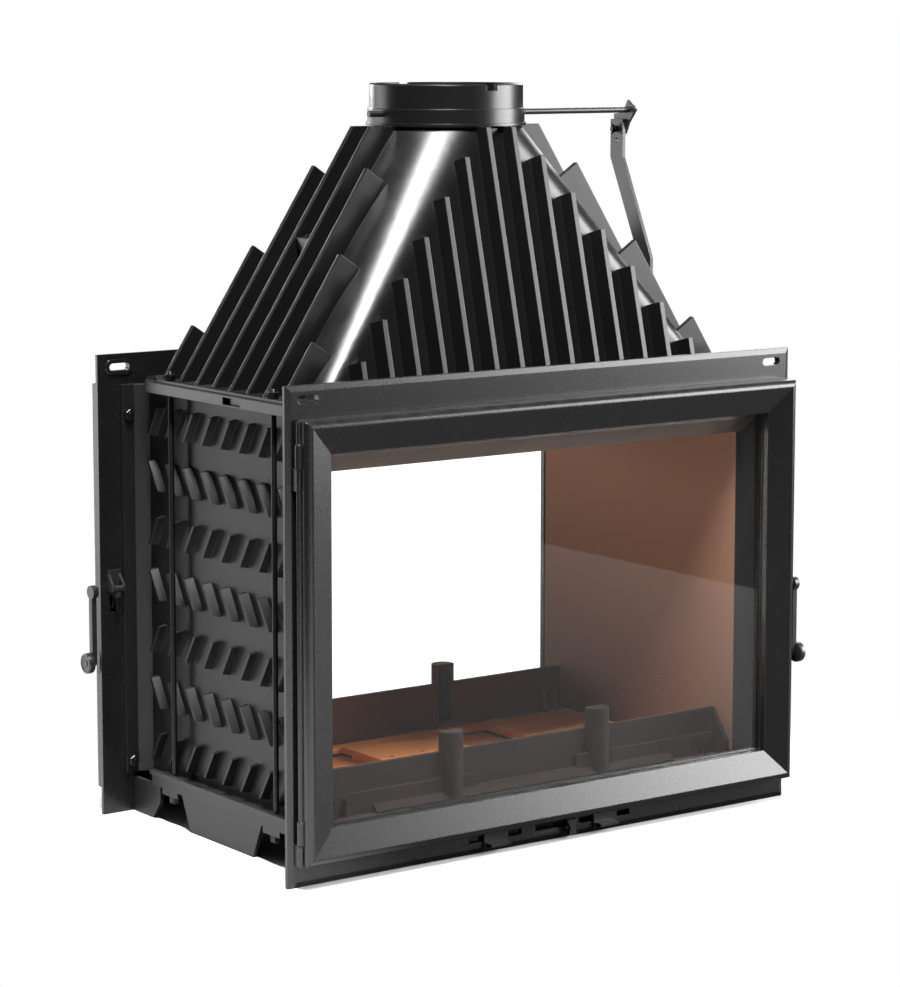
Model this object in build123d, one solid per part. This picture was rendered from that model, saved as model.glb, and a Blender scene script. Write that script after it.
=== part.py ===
from build123d import *
import os

# Double-sided (see-through) cast-iron fireplace insert with a ribbed smoke hood.
# Millimetres. X runs to the right seen from the front, Y away from the viewer, Z up.
# The origin is the centre of the plan at floor level, and the front facade faces -Y.
# The rear half is the front half turned half a turn about Z.

# Clearances and fits
running_gap = 0.3
pin_gap = 0.05
seat_gap = 0.5

# Facade plates and their mouths
facade_width = 796.0
facade_height = 609.0
facade_thick = 8.0
facade_chamfer_wide = 7.0
facade_chamfer_deep = 3.0
mouth_side_margin = 52.0
mouth_top_margin = 82.0
mouth_low = 73.0
slot_long = 30.0
slot_high = 10.0
slot_from_side = 32.0
slot_from_top = 17.0
slot_rim_wide = 5.0
slot_rim_deep = 2.0

# Firebox shell
body_depth = 439.2
wall_thick = 8.0
jamb_flare = 22.0
jamb_deep = 15.0
flange_wide = 20.0

# Base casting and top plate
plan_overhang = 34.0
plan_corner_back = 52.6
deck_low = 46.0
deck_thick = 8.0
side_lip_low = 60.0
side_lip_high = 66.0
lip_wide = 7.0
rim_inset = 3.0
top_over_mouth = 42.0
top_thick = 8.0
top_rim_deep = 5.5
top_pocket_long = 40.0
top_pocket_high = 9.0
top_pocket_y = 42.0
top_pocket_deep = 6.0

# Feet
foot_from_side = 8.0
foot_thick = 7.0
side_foot_bottom = 75.0
side_foot_top = 96.0
end_foot_bottom_back = 50.6
end_foot_top_back = 69.6
end_foot_slope_high = 25.0

# Hearth, grate and ash box
hearth_thick = 8.0
pit_width = 336.0
pit_from_end = 80.6
pit_drop = 12.0
pit_wall = 6.0
pit_flange = 8.0
grate_width = 146.0
grate_from_end = 101.6
grate_skin = 8.0
grate_hole = 8.0
grate_pitch_x = 50.0
grate_pitch_y = 56.0
well_width = 120.0
well_from_end = 114.6
well_low = 6.0
pan_gap = 3.0
pan_wall = 2.0

# Tie rods that clamp the shell between base and hood
rod_diameter = 7.5
rod_from_side = 11.0
rod_from_end = 98.1
rod_low = 27.0
rod_over_nut = 3.0
nut_across = 13.0
nut_high = 9.0
lug_low = 38.0
lug_deep = 38.0
lug_wide = 20.0

# Ribs on the outside of the side walls
rib_rows = 7
rib_row_pitch = 71.8
rib_first_z = 92.2
rib_columns = 9
rib_pitch = 44.0
rib_rise = 37.0
rib_lean = 22.7
rib_crest_thick = 4.0
rib_root_thick = 8.5
rib_root_rise = 41.0
rib_proud = 11.0

# Smoke hood
hood_flange_thick = 4.0
hood_flange_from_side = 6.0
hood_flange_from_end = 29.6
hood_flange_corner = 42.0
hood_foot_inset = 8.0
hood_foot_from_end = 50.6
hood_corner = 25.0
hood_wall = 6.0
neck_radius = 97.0
neck_ring_radius = 104.0
neck_ring_high = 4.0
hood_high = 331.0
fin_thick = 7.0
fin_pitch = 40.0
fin_deep = 45.0
front_fins = 14
side_fins = 8
fin_proud_low = 29.6
side_fin_proud_low = 30.5
fin_proud_top = 21.0
side_fin_proud_top = 34.5
front_step_over = 32.0
front_step_slope = 1.205
side_step_over = 99.0
side_step_slope = 2.56
hood_lug_drop = 143.0
hood_lug_high = 26.0
lug_screw_diameter = 5.0
lug_screw_head = 10.0
lug_screw_deep = 10.0

# Flue collar
collar_radius = 100.0
collar_band = 2.0
collar_band_over_axle = 6.5
collar_wall = 6.0
collar_high = 50.0
collar_seat = 2.5
collar_notch_wide = 16.0
collar_notch_deep = 9.0
collar_edge = 2.0

# Damper
axle_diameter = 8.0
axle_rise = 11.5
axle_left = 122.0
damper_radius = 88.0
damper_thick = 3.0
damper_screw_diameter = 4.0
crank_from_fin = 41.5
crank_thick = 4.0
crank_pin_y = 18.0
crank_pin_drop = 26.0
link_thick = 5.0
link_wide = 26.0
link_reach = 264.5
link_knee_high_drop = 64.5
link_knee_low_drop = 197.5
link_shift = 61.0
link_hole_pitch = 15.5
bolt_diameter = 6.0

# Doors
frame_wide = 42.0
frame_round = 9.0
frame_crest = 30.0
frame_side = 21.0
frame_sight = 18.0
frame_back = 0.8
seal_from = 15.5
seal_wide = 8.0
seal_deep = 8.0
step_from = 26.0
step_out = 5.2
rebate_from = 33.5
rebate_out = 10.2
glass_thick = 4.0
ribbon_thick = 1.0
retainer_thick = 2.0
clip_screw_diameter = 4.0
clip_screw_deep = 5.8
clip_head_high = 1.8

# Door hinges
hinge_past_door = 0.5
hinge_out = 13.0
bead_diameter = 7.0
knuckle_diameter = 10.0
knuckle_high = 29.0
knuckle_rise = 25.5
knuckle_drop = 57.0
hinge_lug_high = 26.0
hinge_lug_diameter = 8.0
hinge_pin_diameter = 4.5
relief_wide = 6.2
relief_out = 7.0

# Door handles and latches
latch_below_middle = 6.0
latch_out = 16.0
spindle_diameter = 8.0
cam_thick = 5.0
cam_high = 8.0
cam_reach = 40.0
pocket_from = 5.0
pocket_wide = 8.0
lever_past_door = 5.0
lever_thick = 7.0
lever_wide = 8.0
knob_radius = 13.5
knob_thick = 9.0
knob_drop = 94.0
knob_pin_diameter = 6.0
notch_up = 9.0
notch_down = 109.0
notch_deep = 1.5

# Bottom fascia and air controls
fascia_from_side = 183.0
fascia_high = 33.0
air_slot_long = 84.0
air_slot_high = 8.0
air_slot_z = 18.5
air_slot_from_end = 127.0
shutter_wide = 38.0
shutter_high = 19.0
shutter_thick = 2.0
tab_reach = 12.0
tab_wide = 30.0
tab_high = 6.0
centre_slot_long = 57.0
centre_slot_x = 5.5

# Facade bolts
facade_bolt_diameter = 8.0
facade_bolt_head = 13.0
facade_bolt_from_mouth = 12.0
facade_bolt_past_mouth = 3.0
facade_bolt_long = 26.0
facade_nut_high = 7.0

# Log guards
guard_from_end = 48.1
guard_end_gap = 3.0
guard_high = 123.0
guard_thick = 6.0
guard_ledge_z = 90.0
guard_ledge_out = 4.0
guard_plain_half = 82.0
guard_skirt_z = 73.0
guard_skirt_out = 13.0
guard_skirt_edge = 2.5
guard_skirt_short = 81.0
post_x = 118.0
post_radius = 16.0
post_high = 149.0
post_wall = 5.0
cheek_reach = 31.0
cheek_drop = 40.0
bracket_from_end = 22.0
bracket_wide = 18.0
bracket_deep = 12.0
bracket_high = 33.0
bracket_thick = 4.0

# Air deflectors and smoke baffle
deflector_thick = 5.0
deflector_low_drop = 27.0
deflector_knee_drop = 8.0
deflector_rise = 21.0
deflector_lean = 11.0
baffle_from_hood = 26.0
baffle_half_y = 105.0
baffle_thick = 6.0
baffle_lug = 30.0

# Worked out from the above: heights
mouth_high = facade_height - mouth_top_margin
deck_high = deck_low + deck_thick
hearth_z = deck_high + hearth_thick
pit_floor_high = hearth_z - pit_drop
door_low = mouth_low - frame_wide
door_high = mouth_high + frame_wide
top_low = mouth_high + top_over_mouth
top_high = top_low + top_thick
hood_low = top_high + hood_flange_thick
hood_top = top_high + hood_high
ring_low = hood_top - neck_ring_high
axle_z = hood_top + axle_rise
collar_top = hood_top + collar_high
latch_z = (door_low + door_high) / 2 - latch_below_middle
knob_z = latch_z - knob_drop
knuckle_low_z = door_low + knuckle_rise
knuckle_high_z = door_high - knuckle_drop
hood_lug_z = hood_top - hood_lug_drop
crank_pin_z = axle_z - crank_pin_drop

# Worked out from the above: across the width
mouth_x = facade_width / 2 - mouth_side_margin
inside_x = mouth_x - jamb_flare
wall_x = inside_x + wall_thick
side_x = inside_x + plan_overhang
door_x = mouth_x + frame_wide
hinge_x = door_x + hinge_past_door
lever_in = door_x + lever_past_door
rod_x = side_x - rod_from_side
foot_x = side_x - foot_from_side
hood_flange_x = side_x - hood_flange_from_side
hood_base_x = inside_x - hood_foot_inset
side_crest_low = hood_base_x + side_fin_proud_low
side_crest_top = neck_radius + side_fin_proud_top
crank_x = side_crest_low - crank_from_fin
axle_right = crank_x + crank_thick + 5.0
facade_bolt_x = mouth_x + facade_bolt_from_mouth
fascia_half = facade_width / 2 - fascia_from_side
air_slot_x = fascia_half - air_slot_from_end
guard_half = inside_x - guard_end_gap
baffle_half_x = hood_base_x - baffle_from_hood

# Worked out from the above: from the middle to the facades
inner_y = body_depth / 2
outer_y = inner_y + facade_thick
plan_corner_y = inner_y - plan_corner_back
rod_y = inner_y - rod_from_end
hood_flange_y = inner_y - hood_flange_from_end
hood_base_y = inner_y - hood_foot_from_end
front_crest_low = hood_base_y + fin_proud_low
front_crest_top = neck_radius + fin_proud_top
pit_half_y = inner_y - pit_from_end
grate_half_y = inner_y - grate_from_end
well_half_y = inner_y - well_from_end
guard_y = inner_y - guard_from_end


def block(x0, x1, y0, y1, z0, z1):
    """A box between two corners."""
    size = (abs(x1 - x0), abs(y1 - y0), abs(z1 - z0))
    return Pos((x0 + x1) / 2, (y0 + y1) / 2, (z0 + z1) / 2) * Box(*size)


def prism_x(points, x0, x1):
    """A (Y, Z) outline carried along X."""
    face = Plane.YZ.offset(x0) * Polygon(*points, align=None)
    return extrude(face, x1 - x0, dir=(1, 0, 0))


def prism_y(points, y0, y1):
    """An (X, Z) outline carried along Y."""
    face = Plane.XZ.offset(-y0) * Polygon(*points, align=None)
    return extrude(face, y1 - y0, dir=(0, 1, 0))


def prism_z(points, z0, z1):
    """An (X, Y) outline carried along Z."""
    face = Plane.XY.offset(z0) * Polygon(*points, align=None)
    return extrude(face, z1 - z0, dir=(0, 0, 1))


def rod_along_x(radius, x0, x1, y, z):
    return Pos((x0 + x1) / 2, y, z) * Rot(0, 90, 0) * Cylinder(radius, x1 - x0)


def rod_along_y(radius, x, y0, y1, z):
    return Pos(x, (y0 + y1) / 2, z) * Rot(90, 0, 0) * Cylinder(radius, y1 - y0)


def rod_along_z(radius, x, y, z0, z1):
    return Pos(x, y, (z0 + z1) / 2) * Cylinder(radius, z1 - z0)


def turned(shape):
    """The same piece on the opposite side."""
    return Rot(0, 0, 180) * shape


def both_sides(shape):
    """The piece and its twin turned half a turn."""
    return shape + turned(shape)


def four_corners(shape):
    """A piece and its mirror images in all four corners of the plan."""
    pair = shape + mirror(shape, about=Plane.YZ)
    return pair + mirror(pair, about=Plane.XZ)


def out(depth):
    """Y of a point that stands the given depth out of the front facade."""
    return -outer_y - depth


def one(shape):
    """The single solid of a fused shape."""
    return shape.solids()[0]


def group(shapes):
    """Separate solids that share one node."""
    return Compound(children=[s for shape in shapes for s in shape.solids()])


def facade():
    """The front facade plate with its mouth, slots, fascia bay and hinge lugs."""
    half = facade_width / 2
    plate = bevelled_front(half)
    plate -= block(-mouth_x, mouth_x, -outer_y - 1, 0, mouth_low, mouth_high)
    bay = fascia_half + seat_gap
    plate -= block(-bay, bay, -outer_y - 1, 0, -1, fascia_high + seat_gap)
    slot_x = half - slot_from_side
    slot_z = facade_height - slot_from_top
    slot = Plane.XZ * SlotOverall(slot_long, slot_high)
    rim = Plane.XZ.offset(inner_y - slot_rim_deep) * Pos(0, slot_z)
    rim *= SlotOverall(slot_long + 2 * slot_rim_wide, slot_high + 2 * slot_rim_wide)
    for x in (-slot_x, slot_x):
        plate += Pos(x, 0, 0) * extrude(rim, slot_rim_deep + 1)
        plate -= Pos(x, 0, slot_z) * extrude(slot, outer_y + 1)
    for x, z in facade_bolt_places():
        plate -= rod_along_y(facade_bolt_diameter / 2 + seat_gap, x, -outer_y - 1, 0, z)
        plate -= countersink(x, z, pin_gap)
    cam_x = door_x - pocket_from - pocket_wide / 2
    plate -= block(cam_x - pocket_wide / 2 - 1, cam_x + pocket_wide / 2 + 1, -outer_y - 1, 0,
                   latch_z - 24, latch_z + cam_high)
    return one(plate + hinge_lugs())


def bevelled_front(half):
    """The envelope of the plate: its front edges are bevelled all round."""
    low = Plane.XZ.offset(inner_y) * Pos(0, facade_height / 2) * Rectangle(2 * half, facade_height)
    body = extrude(low, facade_thick - facade_chamfer_deep)
    base = Plane.XZ.offset(outer_y - facade_chamfer_deep) * Pos(0, facade_height / 2)
    face = Plane.XZ.offset(outer_y) * Pos(0, facade_height / 2)
    bevel = loft([base * Rectangle(2 * half, facade_height),
                  face * Rectangle(2 * half - 2 * facade_chamfer_wide,
                                   facade_height - 2 * facade_chamfer_wide)], ruled=True)
    return body + bevel


def facade_bolt_places():
    """Where the facade is bolted to the flanges of the side walls."""
    low = mouth_low - facade_bolt_past_mouth
    high = mouth_high + facade_bolt_past_mouth
    return [(x, z) for x in (-facade_bolt_x, facade_bolt_x) for z in (low, high)]


def countersink(x, z, gap):
    """The cone of a countersunk head, flush with the facade."""
    deep = (facade_bolt_head - facade_bolt_diameter) / 2
    cone = Cone(facade_bolt_diameter / 2 + gap, facade_bolt_head / 2 + gap, deep)
    return Pos(x, -outer_y + deep / 2, z) * Rot(90, 0, 0) * cone


def hinge_lugs():
    """Two fixed barrels on the hinge side, each on a leg from the plate."""
    lugs = Part()
    for z in (knuckle_low_z, knuckle_high_z):
        top = z - 2 * seat_gap
        low = top - hinge_lug_high
        barrel = rod_along_z(hinge_lug_diameter / 2, -hinge_x, out(hinge_out), low, top)
        leg = block(-hinge_x - 3, -hinge_x + 3, out(hinge_out), -outer_y, low, top)
        pin_hole = rod_along_z(hinge_pin_diameter / 2 + pin_gap, -hinge_x, out(hinge_out), low + 4, top + 1)
        lugs += (barrel + leg) - pin_hole
    return lugs


def hinge_pins():
    """The pins that stand in the fixed barrels and carry the door knuckles."""
    pins = []
    for z in (knuckle_low_z, knuckle_high_z):
        low = z - 2 * seat_gap - hinge_lug_high + 4
        pins.append(rod_along_z(hinge_pin_diameter / 2, -hinge_x, out(hinge_out), low, z + knuckle_high - 4))
    return group(pins)


def wall_mitre():
    """The line in plan where the flat wall meets a jamb, from inside to outside."""
    end = inner_y - jamb_deep
    return [(inside_x, end), (wall_x, end - wall_thick * 0.53)]


def side_wall():
    """The right side wall: a flat plate mitred to its jambs, with a foot and ribs."""
    (_, inner_end), (_, outer_end) = wall_mitre()
    wall = prism_z([(inside_x, -inner_end), (wall_x, -outer_end), (wall_x, outer_end), (inside_x, inner_end)],
                   deck_high, top_low)
    foot_end = rod_x - rod_diameter / 2 - seat_gap
    foot = block(wall_x, foot_end, -plan_corner_y, plan_corner_y, deck_high, side_lip_low)
    return one(wall + foot + side_ribs())


def wall_jambs():
    """The flared jambs at both ends of the right side wall, each with its bolting flange."""
    back_y = inner_y - wall_thick
    inner_corner, outer_corner = wall_mitre()
    knee_x = wall_x + (back_y - outer_corner[1]) * jamb_flare / jamb_deep
    plan = [inner_corner, (mouth_x, inner_y), (mouth_x + flange_wide, inner_y), (mouth_x + flange_wide, back_y),
            (knee_x, back_y), outer_corner]
    jamb = prism_z(plan, deck_high, top_low)
    for x, z in facade_bolt_places():
        if x > 0:
            jamb -= rod_along_y(facade_bolt_diameter / 2 + seat_gap, x, 0, inner_y + 1, z)
    return group([jamb, mirror(jamb, about=Plane.XZ)])


def rib_outline(side, thick, rise, x):
    """One leaning rib cut across at a distance from the middle."""
    lean = side * rib_lean / 2
    skew = thick / 2 * (rib_lean ** 2 + rib_rise ** 2) ** 0.5 / rib_rise
    half = rise / 2
    points = [(-lean - skew, -half), (-lean + skew, -half), (lean + skew, half), (lean - skew, half)]
    return Plane.YZ.offset(x) * Polygon(*points, align=None)


def side_ribs():
    """Herringbone cooling ribs with drafted faces: each row leans the other way."""
    ribs = Part()
    for row in range(rib_rows):
        side = 1 if row % 2 == 0 else -1
        root = rib_outline(side, rib_root_thick, rib_root_rise, wall_x - 1)
        crest = rib_outline(side, rib_crest_thick, rib_rise, wall_x + rib_proud)
        rib = loft([root, crest], ruled=True)
        z = rib_first_z + row * rib_row_pitch
        for column in range(rib_columns):
            y = (column - (rib_columns - 1) / 2) * rib_pitch
            ribs += Pos(0, y, z) * rib
    return ribs


def plan_outline(inset):
    """The eight-sided plan shared by the base and the top plate."""
    front = inside_x - inset
    side = side_x - inset
    right = [(front, -inner_y), (side, -plan_corner_y), (side, plan_corner_y), (front, inner_y)]
    return right + [(-x, y) for x, y in reversed(right)]


def hearth_opening(z0, z1, inset):
    """The fire pit, less the two bridges at the ends of the grate."""
    pit_x = pit_width / 2 - inset
    pit_y = pit_half_y - inset
    pit = block(-pit_x, pit_x, -pit_y, pit_y, z0, z1)
    bridge_x = grate_width / 2 + inset
    bridge = block(-bridge_x, bridge_x, grate_half_y + seat_gap - inset, pit_y + 1, z0, z1)
    return pit - bridge - turned(bridge)


def base_casting():
    """Deck, side lips, rod lugs and feet in one casting."""
    base = prism_z(plan_outline(rim_inset), deck_low, deck_high)
    base -= hearth_opening(deck_low - 1, deck_high + 1, 0)
    rim = block(side_x - lip_wide, side_x - rim_inset, -plan_corner_y, plan_corner_y, deck_low, side_lip_low)
    lip = block(side_x - lip_wide, side_x, -plan_corner_y, plan_corner_y, side_lip_low, side_lip_high)
    base += both_sides(rim + lip)
    lug = block(rod_x - lug_wide / 2, rod_x + lug_wide / 2 - 2, rod_y - lug_deep / 2, rod_y + lug_deep / 2,
                lug_low, deck_low)
    base += four_corners(lug) + feet()
    for x, y in rod_places():
        base -= rod_along_z(rod_diameter / 2 + seat_gap, x, y, 0, deck_high + 1)
    return one(base)


def ash_box():
    """The pit floor that rises through the deck, its flange and the ash well."""
    flange_low = deck_low - pit_wall
    flange_x = pit_width / 2 + pit_flange
    flange_y = pit_half_y + pit_flange
    box = block(-flange_x, flange_x, -flange_y, flange_y, flange_low, deck_low)
    box += hearth_opening(flange_low, pit_floor_high, seat_gap)
    box -= hearth_opening(flange_low - 1, pit_floor_high - pit_wall, seat_gap + pit_wall)
    well_x = well_width / 2
    roof = pit_floor_high - pit_wall
    box += block(-well_x - pit_wall, well_x + pit_wall, -well_half_y - pit_wall, well_half_y + pit_wall,
                 well_low, roof)
    box -= block(-well_x, well_x, -well_half_y, well_half_y, well_low + pit_wall, pit_floor_high + 1)
    for x in (-0.35 * pit_width, 0.35 * pit_width):
        for y in (-grate_pitch_y, grate_pitch_y):
            box -= rod_along_z(grate_hole / 2, x, y, flange_low - 1, pit_floor_high + 1)
    return one(box)


def feet():
    """Two tapered side feet and four half feet that run out to the facades."""
    low_x = foot_x - foot_thick / 2
    high_x = foot_x + foot_thick / 2 - 1
    end_bottom = inner_y - end_foot_bottom_back
    end_top = inner_y - end_foot_top_back
    side = prism_x([(-side_foot_bottom, 0), (side_foot_bottom, 0), (side_foot_top, deck_low),
                    (-side_foot_top, deck_low)], low_x, high_x)
    end = prism_x([(end_bottom, 0), (inner_y, 0), (inner_y, deck_low), (end_top, deck_low),
                   (end_top, end_foot_slope_high)], low_x, high_x)
    return both_sides(side) + four_corners(end)


def rod_places():
    return [(x, y) for x in (-rod_x, rod_x) for y in (-rod_y, rod_y)]


def top_plate():
    """The plate that closes the shell, open under the hood."""
    plate = prism_z(plan_outline(0), top_low, top_high)
    rim_low = top_low - top_rim_deep
    rim = block(side_x - lip_wide, side_x, -plan_corner_y, plan_corner_y, rim_low, top_low)
    plate += both_sides(rim)
    hole_x = hood_base_x - hood_wall
    hole_y = hood_base_y - hood_wall
    hole = RectangleRounded(2 * hole_x, 2 * hole_y, hood_corner - hood_wall)
    plate -= extrude(Plane.XY.offset(top_low - 1) * hole, top_thick + 2)
    lug = block(baffle_half_x - baffle_lug / 2, hole_x + 1, -baffle_lug / 2, baffle_lug / 2, top_low, top_high)
    plate += both_sides(lug)
    pocket_low = rim_low + 2
    pocket = block(side_x - top_pocket_deep, side_x + 1, top_pocket_y - top_pocket_long / 2,
                   top_pocket_y + top_pocket_long / 2, pocket_low, pocket_low + top_pocket_high)
    plate -= both_sides(pocket)
    for x, y in rod_places():
        plate -= rod_along_z(rod_diameter / 2 + seat_gap, x, y, rim_low - 1, top_high + 1)
    return one(plate)


def hood_loft(inset, low, high):
    """Rectangle to round: flat faces with conical corners."""
    base = RectangleRounded(2 * (hood_base_x - inset), 2 * (hood_base_y - inset), hood_corner - inset)
    neck = neck_radius - inset
    top = RectangleRounded(2 * neck, 2 * neck, neck - seat_gap)
    return loft([Plane.XY.offset(low) * base, Plane.XY.offset(high) * top], ruled=True)


def hood():
    """Smoke hood with stepped cooling fins on all four faces."""
    body = hood_loft(0, hood_low, ring_low)
    body += fins_front() + fins_side() + hood_lugs()
    flange_points = [(hood_flange_x - hood_flange_corner / 2, -hood_flange_y),
                     (hood_flange_x, -hood_flange_y + hood_flange_corner)]
    right = flange_points + [(x, -y) for x, y in reversed(flange_points)]
    body += prism_z(right + [(-x, -y) for x, y in right], top_high, hood_low)
    body += rod_along_z(neck_ring_radius, 0, 0, ring_low, hood_top)
    body -= hood_loft(hood_wall, hood_low, ring_low)
    hole_x = hood_base_x - hood_wall
    hole_y = hood_base_y - hood_wall
    hole = RectangleRounded(2 * hole_x, 2 * hole_y, hood_corner - hood_wall)
    body -= extrude(Plane.XY.offset(top_high) * hole, hood_flange_thick)
    body -= rod_along_z(neck_radius - hood_wall, 0, 0, ring_low, hood_top + 1)
    seat_radius = collar_radius + collar_band + running_gap / 3
    body -= rod_along_z(seat_radius, 0, 0, hood_top - collar_seat, hood_top + 1)
    for x, y in rod_places():
        body -= rod_along_z(rod_diameter / 2 + seat_gap, x, y, top_high - 1, hood_low + 1)
    return one(body)


def fin_outline(crest_low, crest_top, step_z):
    """A fin seen from its side: root along the crest, upper end cut square to it."""
    slope = (crest_low - crest_top) / (hood_top - hood_low)
    head_z = min(step_z, ring_low)
    head = crest_low - (head_z - hood_low) * slope
    if step_z < ring_low:
        reach = fin_deep / (1 + slope ** 2)
    else:
        reach = fin_deep
    end_z = max(head_z - (fin_deep - reach) / slope, hood_low + 1)
    return [(crest_low - fin_deep, hood_low), (crest_low, hood_low), (head, head_z), (head - reach, end_z)]


def fins_front():
    """Fins on the front and rear faces, shorter towards the corners."""
    fins = Part()
    for index in range(front_fins):
        x = (index - (front_fins - 1) / 2) * fin_pitch
        step = hood_top + front_step_over - front_step_slope * abs(x)
        outline = fin_outline(front_crest_low, front_crest_top, step)
        fins += prism_x(outline, x - fin_thick / 2, x + fin_thick / 2)
    return both_sides(fins)


def fins_side():
    """Fins on the left and right faces."""
    fins = Part()
    for index in range(side_fins):
        y = (index - (side_fins - 1) / 2) * fin_pitch
        step = hood_top + side_step_over - side_step_slope * abs(y)
        outline = fin_outline(side_crest_low, side_crest_top, step)
        fins += prism_y(outline, y - fin_thick / 2, y + fin_thick / 2)
    return both_sides(fins)


def side_crest_x(z):
    """How far out the crest of a side fin stands at a height."""
    slope = (side_crest_low - side_crest_top) / (hood_top - hood_low)
    return side_crest_low - (z - hood_low) * slope


def hood_lug_x():
    """Where the screw of a hood lug stands."""
    return side_crest_x(hood_lug_z) - 2 - lug_screw_head


def hood_lugs():
    """A wedge between the two middle side fins, tapped for a screw."""
    half = fin_pitch / 2
    face = side_crest_x(hood_lug_z) - 2
    wedge = prism_x([(-half, hood_lug_z), (half, hood_lug_z), (0, hood_lug_z - hood_lug_high)], face - 30, face)
    hole = rod_along_z(lug_screw_diameter / 2 + pin_gap, hood_lug_x(), 0, hood_lug_z - lug_screw_deep - 2,
                       hood_lug_z + 1)
    return both_sides(wedge - hole)


def hood_screws():
    """The screws in the two hood lugs."""
    x = hood_lug_x()
    shank = rod_along_z(lug_screw_diameter / 2, x, 0, hood_lug_z - lug_screw_deep, hood_lug_z)
    head = rod_along_z(lug_screw_head / 2, x, 0, hood_lug_z, hood_lug_z + 0.8 * lug_screw_diameter)
    screw = shank + head
    return group([screw, turned(screw)])


def flue_collar():
    """The flue spigot with two rim notches and the axle holes."""
    low = hood_top - collar_seat
    inner = collar_radius - collar_wall
    ring = rod_along_z(collar_radius, 0, 0, low, collar_top)
    ring = chamfer(ring.edges().filter_by(GeomType.CIRCLE).group_by(Axis.Z)[-1], collar_edge)
    ring += rod_along_z(collar_radius + collar_band, 0, 0, low, axle_z + collar_band_over_axle)
    ring -= rod_along_z(inner, 0, 0, low - 1, collar_top + 1)
    notch = block(-collar_notch_wide / 2, collar_notch_wide / 2, -collar_radius - 1, 0,
                  collar_top - collar_notch_deep, collar_top + 1)
    ring -= both_sides(notch)
    past_band = collar_radius + collar_band + 1
    ring -= rod_along_x(axle_diameter / 2 + pin_gap, -past_band, past_band, 0, axle_z)
    return one(ring)


def damper_axle():
    """The axle, flat on top where the disc lies."""
    axle = rod_along_x(axle_diameter / 2, -axle_left, axle_right, 0, axle_z)
    flat = block(-damper_radius, damper_radius, -axle_diameter, axle_diameter, axle_z + axle_diameter / 2 - 1,
                 axle_z + axle_diameter)
    axle -= flat
    for x in damper_screw_places():
        axle -= rod_along_z(damper_screw_diameter / 2 + pin_gap, x, 0, axle_z - axle_diameter,
                            axle_z + axle_diameter)
    return one(axle)


def damper_screw_places():
    return (-damper_radius / 2, damper_radius / 2)


def damper_plate():
    """The butterfly disc that lies on the flat of the axle."""
    low = axle_z + axle_diameter / 2 - 1
    disc = rod_along_z(damper_radius, 0, 0, low, low + damper_thick)
    for x in damper_screw_places():
        disc -= rod_along_z(damper_screw_diameter / 2 + pin_gap, x, 0, low - 1, low + damper_thick + 1)
    return one(disc)


def damper_screws():
    """Two screws that hold the disc on the axle."""
    top = axle_z + axle_diameter / 2 - 1 + damper_thick
    low = axle_z - axle_diameter / 2
    radius = damper_screw_diameter / 2
    screws = []
    for x in damper_screw_places():
        screws.append(rod_along_z(radius, x, 0, low, top) + rod_along_z(2 * radius, x, 0, top, top + 1.2 * radius))
    return group(screws)


def damper_crank():
    """The bracket on the end of the axle that carries the link bolt."""
    outline = [(2, axle_z + 13), (-15, axle_z), (0, axle_z - 18), (crank_pin_y - 11, crank_pin_z - 7),
               (crank_pin_y + 9, crank_pin_z - 7), (crank_pin_y + 13, axle_z - 6), (12, axle_z - 4)]
    x0 = crank_x
    x1 = crank_x + crank_thick
    plate = prism_x(outline, x0, x1)
    plate -= rod_along_x(axle_diameter / 2 + pin_gap, x0 - 1, x1 + 1, 0, axle_z)
    plate -= rod_along_x(bolt_diameter / 2 + pin_gap, x0 - 1, x1 + 1, crank_pin_y, crank_pin_z)
    return one(plate)


def damper_crank_nut():
    """The nut that locks the bracket on the axle."""
    x = crank_x + crank_thick
    nut = Plane.YZ.offset(x) * Pos(0, axle_z) * RegularPolygon(nut_across / 2, 6, major_radius=False)
    nut = extrude(nut, axle_right - x - 1)
    nut -= rod_along_x(axle_diameter / 2 + pin_gap, x - 1, axle_right + 1, 0, axle_z)
    return one(nut)


def damper_link():
    """The cranked flat bar that hangs from the bracket."""
    x0 = crank_x - running_gap - link_thick
    x1 = x0 + link_thick
    near = crank_pin_y - link_wide / 2
    far = crank_pin_y + link_wide / 2
    top = crank_pin_z + link_wide / 2
    low = axle_z - link_reach
    knee_high = axle_z - link_knee_high_drop
    knee_low = axle_z - link_knee_low_drop
    outline = [(near, top), (far, top), (far, knee_high), (far - link_shift, knee_low), (far - link_shift, low),
               (near - link_shift, low), (near - link_shift, knee_low), (near, knee_high)]
    bar = prism_x(outline, x0, x1)
    holes = ((crank_pin_y, crank_pin_z), (crank_pin_y, crank_pin_z - link_hole_pitch),
             (crank_pin_y - link_shift, low + link_wide / 2))
    for y, z in holes:
        bar -= rod_along_x(bolt_diameter / 2 + pin_gap, x0 - 1, x1 + 1, y, z)
    return one(bar)


def damper_link_bolt():
    """The pivot bolt: head outside the bracket, shank through bracket and bar."""
    x0 = crank_x - running_gap - link_thick - 9
    x1 = crank_x + crank_thick
    bolt = rod_along_x(bolt_diameter / 2, x0, x1, crank_pin_y, crank_pin_z)
    head = rod_along_x(bolt_diameter * 0.85, x1, x1 + 4, crank_pin_y, crank_pin_z)
    return one(bolt + head)


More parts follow.
